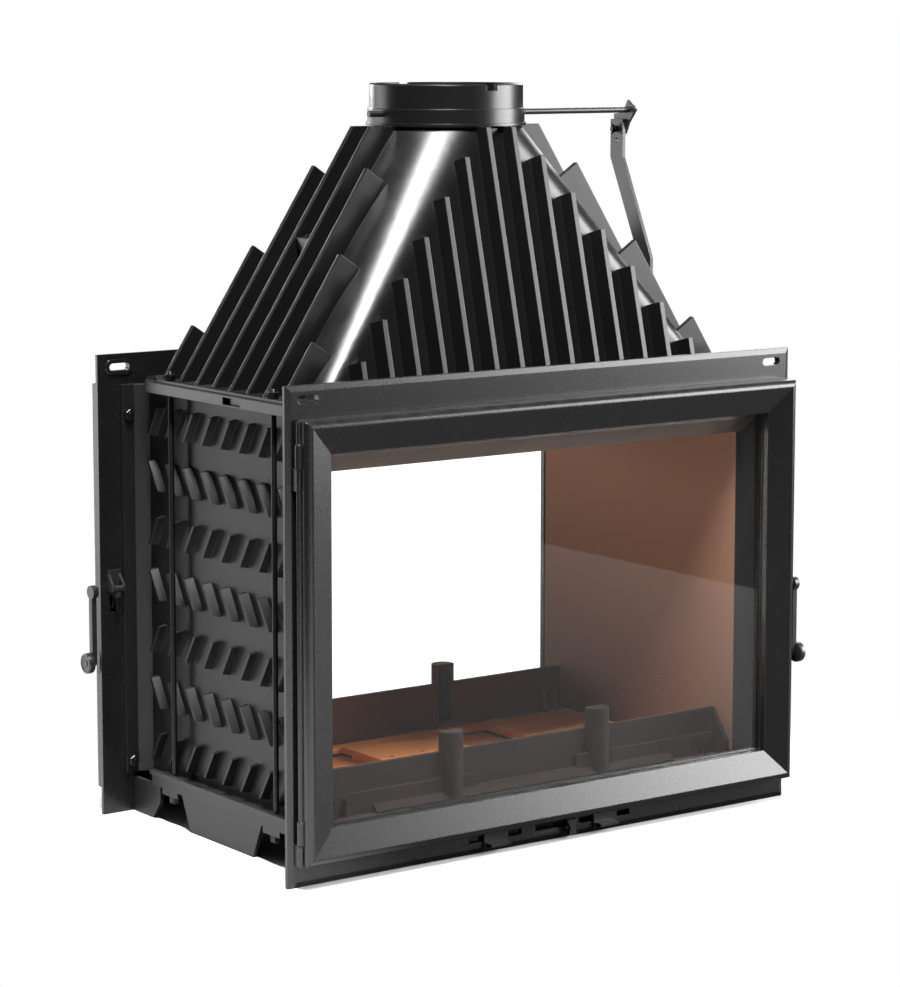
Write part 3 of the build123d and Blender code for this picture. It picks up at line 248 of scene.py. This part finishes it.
def mix_colour(tree, share, first, second):
    """A colour Mix node of two colours or sockets; gives its output."""
    node = put(tree, "ShaderNodeMix", data_type="RGBA")
    tree.links.new(share, node.inputs["Factor"])
    for socket, value in ((node.inputs[MIX_FIRST], first), (node.inputs[MIX_SECOND], second)):
        if isinstance(value, (tuple, list)):
            socket.default_value = tuple(value) + (1.0,)
        else:
            tree.links.new(value, socket)
    return node.outputs[MIX_RESULT]


def iron_finish(name, colour, light_colour, rough, bump=0.12, edge=0.0012, grain=900.0, dust=0.25,
                inside=None, metal=0.0, mirror=0.5):
    """A painted or bare iron surface: grain, soft edges, worn edges and a little dust.

    inside is (colour, axis, limit, full-tone height) of the faces that the fire has browned.
    """
    material = bpy.data.materials.new(name)
    material.use_nodes = True
    tree = material.node_tree
    shader = tree.nodes["Principled BSDF"]
    cast = put(tree, "ShaderNodeGroup", node_tree=shared("Cast grain"))
    cast.inputs["Grain size"].default_value = grain
    soft = put(tree, "ShaderNodeGroup", node_tree=shared("Soft edge"))
    soft.inputs["Radius"].default_value = edge
    film = put(tree, "ShaderNodeGroup", node_tree=shared("Dust"))
    film.inputs["Amount"].default_value = dust
    tone = spread(tree, cast.outputs["Tone"], 0.35, 0.65)
    base = mix_colour(tree, tone, colour, tuple(c * 1.25 for c in colour))
    within = None
    if inside is not None:
        inner, axis, limit, full_tone_height = inside
        place = object_place(tree)
        within = sums(tree, "LESS_THAN", sums(tree, "ABSOLUTE", place[axis]), limit)
        # The inside colour turns darker towards the bottom, down to 0.3 of itself, below the full-tone
        # height.
        full_tone = spread(tree, place["Z"], full_tone_height - LOW_DARKENING_FADE, full_tone_height)
        inner = mix_colour(tree, full_tone, tuple(c * 0.3 for c in inner), inner)
        base = mix_colour(tree, within, base, inner)
    worn = sums(tree, "MULTIPLY", sums(tree, "MULTIPLY", soft.outputs["Edge"], cast.outputs["Tone"]), 0.35)
    base = mix_colour(tree, worn, base, light_colour)
    base = mix_colour(tree, film.outputs["Film"], base, tuple(c + 0.03 for c in light_colour))
    tree.links.new(base, shader.inputs["Base Color"])
    shine = spread(tree, cast.outputs["Speckle"], 0.3, 0.7, rough[0], rough[1])
    shine = sums(tree, "ADD", shine, sums(tree, "MULTIPLY", film.outputs["Film"], 0.3))
    if within is not None:
        shine = sums(tree, "ADD", shine, sums(tree, "MULTIPLY", within, 0.4))
    tree.links.new(shine, shader.inputs["Roughness"])
    shader.inputs["Metallic"].default_value = metal
    shader.inputs["Specular IOR Level"].default_value = mirror
    relief = put(tree, "ShaderNodeBump")
    relief.inputs["Strength"].default_value = bump
    relief.inputs["Distance"].default_value = 0.0006
    tree.links.new(cast.outputs["Height"], relief.inputs["Height"])
    tree.links.new(soft.outputs["Normal"], relief.inputs["Normal"])
    tree.links.new(relief.outputs["Normal"], shader.inputs["Normal"])
    return material


def object_place(tree):
    """The sockets X, Y and Z of the place on the object."""
    split = put(tree, "ShaderNodeSeparateXYZ")
    tree.links.new(put(tree, "ShaderNodeTexCoord").outputs["Object"], split.inputs[0])
    return split.outputs


def glass_finish(colour):
    """Clear ceramic glass that lets light into the firebox."""
    material = bpy.data.materials.new("ceramic glass")
    material.use_nodes = True
    tree = material.node_tree
    shader = tree.nodes["Principled BSDF"]
    shader.inputs["Base Color"].default_value = tuple(colour) + (1.0,)
    shader.inputs["Roughness"].default_value = 0.0
    shader.inputs["IOR"].default_value = 1.45
    shader.inputs["Transmission Weight"].default_value = 1.0
    clear = put(tree, "ShaderNodeBsdfTransparent")
    clear.inputs["Color"].default_value = tuple(colour) + (1.0,)
    path = put(tree, "ShaderNodeLightPath")
    passing = sums(tree, "MAXIMUM", path.outputs["Is Shadow Ray"], path.outputs["Is Diffuse Ray"])
    mixer = put(tree, "ShaderNodeMixShader")
    tree.links.new(passing, mixer.inputs[0])
    tree.links.new(shader.outputs[0], mixer.inputs[1])
    tree.links.new(clear.outputs[0], mixer.inputs[2])
    tree.links.new(mixer.outputs[0], tree.nodes["Material Output"].inputs["Surface"])
    return material


def seal_finish():
    """Dark braided heat-proof rope."""
    material = bpy.data.materials.new("heat-proof braid")
    material.use_nodes = True
    tree = material.node_tree
    shader = tree.nodes["Principled BSDF"]
    coords = put(tree, "ShaderNodeTexCoord")
    weave = put(tree, "ShaderNodeTexWave", wave_type="BANDS", bands_direction="DIAGONAL")
    weave.inputs["Scale"].default_value = 160.0
    weave.inputs["Distortion"].default_value = 1.5
    tree.links.new(coords.outputs["Object"], weave.inputs["Vector"])
    tree.links.new(mix_colour(tree, weave.outputs["Fac"], (0.03, 0.03, 0.03), (0.075, 0.072, 0.068)),
                   shader.inputs["Base Color"])
    tree.links.new(spread(tree, weave.outputs["Fac"], 0.0, 1.0, 0.95, 0.8), shader.inputs["Roughness"])
    relief = put(tree, "ShaderNodeBump")
    relief.inputs["Strength"].default_value = 0.5
    relief.inputs["Distance"].default_value = 0.0008
    tree.links.new(weave.outputs["Fac"], relief.inputs["Height"])
    tree.links.new(relief.outputs["Normal"], shader.inputs["Normal"])
    return material


def seen_straight(tree, most_bounces):
    """1 for what the camera sees directly or straight through the panes, 0 for reflections of it."""
    path = put(tree, "ShaderNodeLightPath")
    bounced = sums(tree, "SUBTRACT", path.outputs["Ray Depth"], path.outputs["Transmission Depth"])
    straight = sums(tree, "LESS_THAN", bounced, most_bounces)
    through = sums(tree, "MULTIPLY", path.outputs["Is Transmission Ray"], straight)
    return sums(tree, "MAXIMUM", path.outputs["Is Camera Ray"], through), through


def paint(names, material):
    """Gives the frame's nodes of those names a material."""
    for name in names:
        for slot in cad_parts[name].material_slots:
            slot.material = material


# Sizes and colours a user would change

class InsertFinish(bpy.types.PropertyGroup):
    paint_colour: bpy.props.FloatVectorProperty(
        name="Paint", description="Colour of the black stove paint", subtype="COLOR",
        default=(0.0045, 0.0043, 0.0045))
    worn_colour: bpy.props.FloatVectorProperty(
        name="Worn edge", description="Colour of rubbed edges", subtype="COLOR",
        default=(0.045, 0.043, 0.043))
    wall_colour: bpy.props.FloatVectorProperty(
        name="Firebox wall", description="Heat-browned iron inside", subtype="COLOR",
        default=(0.3, 0.162, 0.106))
    hearth_colour: bpy.props.FloatVectorProperty(
        name="Hearth", description="Colour of the hearth plate", subtype="COLOR", default=(0.85, 0.33, 0.105))
    guard_colour: bpy.props.FloatVectorProperty(
        name="Log guard", description="Colour of the log guards", subtype="COLOR",
        default=(0.08, 0.036, 0.02))
    glass_colour: bpy.props.FloatVectorProperty(
        name="Glass", description="Tint of the ceramic glass", subtype="COLOR", default=(0.995, 0.99, 0.985))
    edge_radius: bpy.props.FloatProperty(
        name="Edge radius", description="Rounding of cast edges", unit="LENGTH", default=0.0012, min=0.0)


class InsertStudio(bpy.types.PropertyGroup):
    floor_wide: bpy.props.FloatProperty(
        name="Floor width", description="Side to side; its right edge shows in the glass", unit="LENGTH",
        default=2.84)
    floor_deep: bpy.props.FloatProperty(
        name="Floor depth", description="Front to back", unit="LENGTH", default=6.0)
    shadow_reach: bpy.props.FloatProperty(
        name="Shadow reach", description="How far outside the insert the floor shows its shadow",
        unit="LENGTH", default=0.3)
    key_power: bpy.props.FloatProperty(
        name="Key light", description="Power of the softbox at the front right", default=460.0, min=0.0)
    strip_power: bpy.props.FloatProperty(
        name="Strip light", description="Power of the strip over the front left corner",
        default=380.0, min=0.0)
    side_power: bpy.props.FloatProperty(
        name="Side light", description="Power of the low softbox behind on the left", default=45.0, min=0.0)
    rim_power: bpy.props.FloatProperty(
        name="Rim light", description="Power of the softbox behind on the right", default=60.0, min=0.0)
    rear_power: bpy.props.FloatProperty(
        name="Rear light", description="Power of the softbox that shines in through the rear door",
        default=42.0, min=0.0)
    through_white: bpy.props.FloatProperty(
        name="White through glass", description="Strength of the white that is seen through the glass",
        default=1.5, min=0.0)
    room_light: bpy.props.FloatProperty(
        name="Room light", description="Strength of the plain surroundings", default=0.02, min=0.0)


class INSERT_OT_finishes(bpy.types.Operator):
    """Gives every piece of the frame its finish"""
    bl_idname = "insert.finishes"
    bl_label = "Finishes"

    def execute(self, context):
        look = context.scene.insert_finish
        paint_colour = tuple(look.paint_colour)
        worn = tuple(look.worn_colour)
        radius = look.edge_radius
        walls = (tuple(look.wall_colour), "X", WALL_FACE, WALL_FULL_TONE_HEIGHT)
        floor = (tuple(look.hearth_colour), "Y", HEARTH_REACH, FLOOR_FULL_TONE_HEIGHT)
        guards = (tuple(look.guard_colour), "Y", GUARD_BACK, FLOOR_FULL_TONE_HEIGHT)
        paint(CAST, iron_finish("satin stove paint", paint_colour, worn, (0.25, 0.31), bump=0.03,
                                edge=radius))
        paint(HOOD, iron_finish("hood casting", paint_colour, worn, (0.27, 0.33), bump=0.04,
                                edge=radius, mirror=0.36))
        paint(SHELL, iron_finish("wall casting", paint_colour, worn, (0.36, 0.5), bump=0.02,
                                 edge=radius, mirror=0.3, inside=walls))
        paint(BASE, iron_finish("base casting", paint_colour, worn, (0.4, 0.55), bump=0.08, edge=radius))
        paint(HEARTH, iron_finish("hearth plate", (0.03, 0.02, 0.016), (0.4, 0.2, 0.1), (0.45, 0.6),
                                  bump=0.03, edge=radius, dust=0.0, mirror=0.15, inside=floor))
        paint(GUARDS, iron_finish("log guard casting", (0.012, 0.009, 0.008), (0.1, 0.07, 0.055),
                                  (0.7, 0.85), bump=0.03, edge=radius, dust=0.0, mirror=0.06,
                                  inside=guards))
        paint(STEEL, iron_finish("satin black steel", (0.011, 0.011, 0.011), worn, (0.28, 0.36),
                                 bump=0.03, edge=radius / 2, grain=1500.0))
        paint(BAFFLES, iron_finish("scaled steel sheet", (0.05, 0.036, 0.03), (0.12, 0.09, 0.07),
                                   (0.45, 0.65), edge=radius / 2))
        paint(FASTENERS, iron_finish("blackened fastener steel", (0.035, 0.035, 0.037),
                                     (0.16, 0.16, 0.165), (0.3, 0.45), bump=0.03, edge=radius / 2,
                                     grain=2000.0, metal=1.0))
        paint(GLASS, glass_finish(tuple(look.glass_colour)))
        paint(SEALS, seal_finish())
        return {"FINISHED"}


# Small fittings: turned and threaded pieces, in metres

def turned_piece(name, rings, sides, hollow=False):
    """A piece turned about Z through rings of (radius, height); a hollow one ends where it began."""
    bpy.ops.object.select_all(action="DESELECT")
    radius, height = rings[0]
    bpy.ops.mesh.primitive_circle_add(vertices=sides, radius=radius, location=(0.0, 0.0, height),
                                      fill_type="NOTHING" if hollow else "NGON")
    piece = bpy.context.object
    piece.name = name
    piece.data.name = name
    bpy.ops.object.transform_apply(location=True, rotation=True, scale=True)
    bpy.ops.object.mode_set(mode="EDIT")
    bpy.ops.mesh.select_all(action="SELECT")
    for wide, high in rings[1:] + (rings[:1] if hollow else []):
        bpy.ops.mesh.extrude_region_move(TRANSFORM_OT_translate={"value": (0.0, 0.0, high - height)})
        bpy.ops.transform.resize(value=(wide / radius, wide / radius, 1.0), center_override=(0.0, 0.0, 0.0))
        radius, height = wide, high
    bpy.ops.mesh.select_all(action="SELECT")
    bpy.ops.mesh.remove_doubles(threshold=0.00001)
    bpy.ops.mesh.normals_make_consistent(inside=False)
    bpy.ops.object.mode_set(mode="OBJECT")
    return piece


def placed(piece, place, turn=(0.0, 0.0, 0.0)):
    """Turns and moves a piece, and leaves it unturned at the origin."""
    bpy.ops.object.select_all(action="DESELECT")
    piece.select_set(True)
    bpy.context.view_layer.objects.active = piece
    piece.rotation_euler = turn
    piece.location = place
    bpy.ops.object.transform_apply(location=True, rotation=True, scale=True)
    return piece


def copy_of(piece, name):
    """A copy with a mesh of its own."""
    bpy.ops.object.select_all(action="DESELECT")
    piece.select_set(True)
    bpy.context.view_layer.objects.active = piece
    bpy.ops.object.duplicate(linked=False)
    twin = bpy.context.object
    twin.name = name
    twin.data.name = name
    return twin


def finished(pieces, name, finish, body, nodes):
    """Joins the pieces into one, smooths it, gives it a finish and sets it in place of its nodes."""
    bpy.ops.object.select_all(action="DESELECT")
    for piece in pieces:
        piece.select_set(True)
    bpy.context.view_layer.objects.active = pieces[0]
    if len(pieces) > 1:
        bpy.ops.object.join()
    whole = bpy.context.object
    whole.name = name
    whole.data.name = name
    whole.data.materials.clear()
    whole.data.materials.append(bpy.data.materials[finish])
    bpy.ops.object.shade_smooth_by_angle(angle=math.radians(SMOOTH_ANGLE))
    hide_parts(*nodes)
    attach(whole, body)


def nut_rings(across, bore, high):
    """Rings of a hexagon nut with both rims chamfered."""
    corner = across / 2 / math.cos(math.pi / 6)
    hole = bore / 2 / math.cos(math.pi / 6)
    rim, cut = corner * NUT_RIM, across * NUT_CHAMFER
    return [(hole, 0.0), (rim, 0.0), (corner, cut), (corner, high - cut), (rim, high), (hole, high)]


def thread_rings(radius, deep, pitch, low, high):
    """Crest and root rings of a thread from one height to another."""
    turns = int((high - low) / pitch)
    step = (high - low) / turns
    rings = []
    for turn in range(turns):
        rings += [(radius - deep, low + step * (turn + THREAD_ROOT_AT)),
                  (radius, low + step * (turn + THREAD_CREST_AT))]
    return rings


class INSERT_OT_tie_rods(bpy.types.Operator):
    """Makes the four tie rods with threaded, chamfered ends and their nuts"""
    bl_idname = "insert.tie_rods"
    bl_label = "Tie rods and nuts"

    def execute(self, context):
        near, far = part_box("tie_rods")
        low, high = near[2], far[2]
        radius = ROD_RADIUS * MM
        x, y = far[0] - radius, far[1] - radius
        places = [(side * x, end * y) for side in (-1, 1) for end in (-1, 1)]
        thread = (radius, THREAD_DEEP * MM, THREAD_PITCH * MM)
        start, stop = THREAD_START * MM, (THREAD_START + THREAD_LONG) * MM
        rings = [(radius * ROD_TIP, low), (radius * ROD_SHOULDER, low + ROD_CHAMFER * MM)]
        rings += thread_rings(*thread, low + start, low + stop)
        rings += [(radius * ROD_SHANK, low + stop + THREAD_RUNOUT * MM),
                  (radius * ROD_SHANK, high - stop - THREAD_RUNOUT * MM)]
        rings += thread_rings(*thread, high - stop, high - start)
        rings += [(radius * ROD_SHOULDER, high - ROD_CHAMFER * MM), (radius * ROD_TIP, high)]
        rod = turned_piece("threaded_tie_rods", rings, 24)
        rods = [rod] + [copy_of(rod, "rod copy") for place in places[1:]]
        for piece, place in zip(rods, places):
            placed(piece, (*place, 0.0))
        finished(rods, "threaded_tie_rods", "blackened fastener steel", "body",
                 ["tie_rods"])
        self.nuts(places)
        return {"FINISHED"}

    def nuts(self, places):
        """A chamfered nut at both ends of each rod."""
        low, high = (corner[2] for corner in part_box("tie_rod_nuts"))
        rings = nut_rings(NUT_ACROSS * MM, ROD_NUT_BORE * MM, ROD_NUT_HIGH * MM)
        nut = turned_piece("chamfered_rod_nuts", rings, 6, hollow=True)
        spots = [(x, y, z) for x, y in places for z in (low, high - ROD_NUT_HIGH * MM)]
        nuts = [nut] + [copy_of(nut, "nut copy") for spot in spots[1:]]
        for piece, spot in zip(nuts, spots):
            turn = NUT_TURN_HIGH if spot[2] > low else NUT_TURN_LOW
            placed(piece, spot, (0.0, 0.0, math.radians(turn)))
        finished(nuts, "chamfered_rod_nuts", "blackened fastener steel", "body",
                 ["tie_rod_nuts"])


class INSERT_OT_facade_nuts(bpy.types.Operator):
    """Makes the chamfered nuts of the facade bolts"""
    bl_idname = "insert.facade_nuts"
    bl_label = "Facade nuts"

    def execute(self, context):
        near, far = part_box("facade_nuts")
        rings = nut_rings(NUT_ACROSS * MM, BOLT_NUT_BORE * MM, BOLT_NUT_HIGH * MM)
        nut = turned_piece("chamfered_facade_nuts", rings, 6, hollow=True)
        placed(nut, (0.0, 0.0, 0.0), (math.radians(-90.0), 0.0, 0.0))
        half = NUT_ACROSS / 2 * MM
        x = far[0] - half / math.cos(math.pi / 6)
        spots = []
        for z in (near[2] + half, far[2] - half):
            for side in (-1, 1):
                spots += [(side * x, near[1], z), (side * x, far[1] - BOLT_NUT_HIGH * MM, z)]
        nuts = [nut] + [copy_of(nut, "nut copy") for spot in spots[1:]]
        for piece, spot in zip(nuts, spots):
            placed(piece, spot)
        finished(nuts, "chamfered_facade_nuts", "blackened fastener steel", "body",
                 ["facade_nuts"])
        return {"FINISHED"}


class INSERT_OT_knobs(bpy.types.Operator):
    """Makes the dished round knobs of both door handles"""
    bl_idname = "insert.knobs"
    bl_label = "Handle knobs"

    def execute(self, context):
        near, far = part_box("front_handle_knob")
        face = far[0] - near[0] - KNOB_THICK * MM
        stem = KNOB_STEM_RADIUS * MM
        rings = [(stem, 0.0), (stem, face)] + [(r * MM, face + h * MM) for r, h in KNOB_PROFILE]
        knob = turned_piece("dished_knob_front", rings, 72)
        middle = [(a + b) / 2 for a, b in zip(near, far)]
        placed(knob, (near[0], middle[1], middle[2]), (0.0, math.radians(90.0), 0.0))
        rear = placed(copy_of(knob, "dished_knob_rear"), (0.0, 0.0, 0.0), (0.0, 0.0, math.radians(180.0)))
        finished([knob], "dished_knob_front", "satin black steel", "front_handle",
                 ["front_handle_knob"])
        finished([rear], "dished_knob_rear", "satin black steel", "rear_handle",
                 ["rear_handle_knob"])
        return {"FINISHED"}


def area_light(name, place, target, wide, high, power, upward):
    """A softbox that faces its target, its high side along the upward direction."""
    data = bpy.data.lights.new(name, "AREA")
    data.shape = "RECTANGLE"
    data.size = wide
    data.size_y = high
    data.energy = power
    lamp = bpy.data.objects.new(name, data)
    back = (Vector(place) - Vector(target)).normalized()
    side = Vector(upward).cross(back).normalized()
    turn = Matrix((side, back.cross(side), back)).transposed()
    lamp.matrix_world = Matrix.Translation(place) @ turn.to_4x4()
    bpy.context.scene.collection.objects.link(lamp)


class INSERT_OT_stage(bpy.types.Operator):
    """Builds the pale floor, the soft lights, the surroundings and the camera"""
    bl_idname = "insert.stage"
    bl_label = "Stage"

    def execute(self, context):
        studio = context.scene.insert_studio
        self.floor(studio.floor_wide, studio.floor_deep)
        self.lights(studio)
        self.surroundings(studio)
        self.camera()
        context.scene.view_settings.view_transform = "Standard"
        return {"FINISHED"}

    def floor(self, wide, deep):
        """The pale floor that keeps the shadow and looks white round it."""
        bpy.ops.object.select_all(action="DESELECT")
        bpy.ops.mesh.primitive_plane_add(size=1.0, location=(0.0, 0.0, -0.0005))
        floor = bpy.context.object
        floor.name = "studio_floor"
        floor.scale = (wide, deep, 1.0)
        bpy.ops.object.transform_apply(location=True, rotation=True, scale=True)
        floor.data.materials.append(self.floor_finish())

    def floor_finish(self):
        """Pale paper: its shadow shows near the insert, and further out it looks plain white. In reflections
        and bounced light it carries painted shade and light: dark, and pale only towards the left.
        """
        material = bpy.data.materials.new("pale floor")
        material.use_nodes = True
        tree = material.node_tree
        shader = tree.nodes["Principled BSDF"]
        shader.inputs["Roughness"].default_value = 0.9
        seen, through = seen_straight(tree, 0.5)
        # Painted shade and light: to reflections and bounce the floor is painted dark. Only towards the left
        # is it pale, where it lights the insert's left side.
        left = spread(tree, object_place(tree)["X"], -0.2, -0.45)
        bounce_shade_colour = mix_colour(tree, left, (0.06, 0.06, 0.06), (0.85, 0.85, 0.85))
        tree.links.new(mix_colour(tree, seen, bounce_shade_colour, (0.9, 0.9, 0.9)), shader.inputs["Base Color"])
        studio = bpy.context.scene.insert_studio
        away = self.distance_outside(tree, PLAN_HALF_WIDE, PLAN_HALF_DEEP)
        far = spread(tree, away, 0.02, studio.shadow_reach)
        white = put(tree, "ShaderNodeEmission")
        tree.links.new(spread(tree, through, 0.0, 1.0, 1.0, studio.through_white), white.inputs["Strength"])
        tree.links.new(seen, shader.inputs["Emission Color"])
        tree.links.new(spread(tree, away, 0.0, 0.1, 0.0, 0.6), shader.inputs["Emission Strength"])
        mixer = put(tree, "ShaderNodeMixShader")
        tree.links.new(sums(tree, "MULTIPLY", far, seen), mixer.inputs[0])
        tree.links.new(shader.outputs[0], mixer.inputs[1])
        tree.links.new(white.outputs[0], mixer.inputs[2])
        tree.links.new(mixer.outputs[0], tree.nodes["Material Output"].inputs["Surface"])
        return material

    def distance_outside(self, tree, half_wide, half_deep):
        """How far a point of the floor lies outside the insert's plan; nothing under it."""
        place = object_place(tree)
        squares = []
        for axis, half in (("X", half_wide), ("Y", half_deep)):
            past = sums(tree, "SUBTRACT", sums(tree, "ABSOLUTE", place[axis]), half)
            past = sums(tree, "MAXIMUM", past, 0.0)
            squares.append(sums(tree, "MULTIPLY", past, past))
        return sums(tree, "SQRT", sums(tree, "ADD", squares[0], squares[1]))

    def lights(self, studio):
        """The softboxes."""
        for name, place, target, wide, high, power, upward in SOFTBOXES:
            area_light(name, place, target, wide, high, getattr(studio, power), upward)

    def surroundings(self, studio):
        """Even room light, seen as plain white by the camera and through glass."""
        world = bpy.data.worlds.new("plain studio")
        bpy.context.scene.world = world
        world.use_nodes = True
        tree = world.node_tree
        tree.nodes.clear()
        seen, through = seen_straight(tree, 1.5)
        room = put(tree, "ShaderNodeBackground")
        room.inputs["Color"].default_value = (1.0, 1.0, 1.0, 1.0)
        room.inputs["Strength"].default_value = studio.room_light
        white = put(tree, "ShaderNodeBackground")
        white.inputs["Color"].default_value = (1.0, 1.0, 1.0, 1.0)
        tree.links.new(spread(tree, through, 0.0, 1.0, 1.0, studio.through_white), white.inputs["Strength"])
        mixer = put(tree, "ShaderNodeMixShader")
        tree.links.new(seen, mixer.inputs[0])
        tree.links.new(room.outputs[0], mixer.inputs[1])
        tree.links.new(white.outputs[0], mixer.inputs[2])
        output = put(tree, "ShaderNodeOutputWorld")
        tree.links.new(mixer.outputs[0], output.inputs["Surface"])

    def camera(self):
        """The photograph's viewing angle."""
        data = bpy.data.cameras.new("photo camera")
        data.sensor_width = 36.0
        data.lens = CAMERA_LENS
        data.shift_x, data.shift_y = CAMERA_SHIFT
        data.clip_start = 0.05
        data.clip_end = 60.0
        camera = bpy.data.objects.new("photo camera", data)
        camera.location = CAMERA_PLACE
        camera.rotation_euler = (math.radians(90.0 - CAMERA_DOWN), 0.0, math.radians(CAMERA_TURN))
        bpy.context.scene.collection.objects.link(camera)
        bpy.context.scene.camera = camera


class INSERT_PT_panel(bpy.types.Panel):
    """Lists the steps that dress the insert"""
    bl_idname = "INSERT_PT_panel"
    bl_label = "Fireplace insert"
    bl_space_type = "VIEW_3D"
    bl_region_type = "UI"
    bl_category = "Insert"

    def draw(self, context):
        for name in STEPS:
            self.layout.operator("insert." + name)
        for group in (context.scene.insert_finish, context.scene.insert_studio):
            for key in group.__annotations__:
                self.layout.prop(group, key)


STEPS = ["finishes", "tie_rods", "facade_nuts", "knobs", "stage"]
CLASSES = [InsertFinish, InsertStudio, INSERT_OT_finishes, INSERT_OT_tie_rods, INSERT_OT_facade_nuts,
           INSERT_OT_knobs, INSERT_OT_stage, INSERT_PT_panel]


def register():
    for item in CLASSES:
        bpy.utils.register_class(item)
    bpy.types.Scene.insert_finish = bpy.props.PointerProperty(type=InsertFinish)
    bpy.types.Scene.insert_studio = bpy.props.PointerProperty(type=InsertStudio)


def unregister():
    del bpy.types.Scene.insert_finish
    del bpy.types.Scene.insert_studio
    for item in reversed(CLASSES):
        bpy.utils.unregister_class(item)


def main():
    """Dresses the frame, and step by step."""
    register()
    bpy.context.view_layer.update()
    for name in STEPS:
        getattr(bpy.ops.insert, name)()


if __name__ == "__main__":
    main()
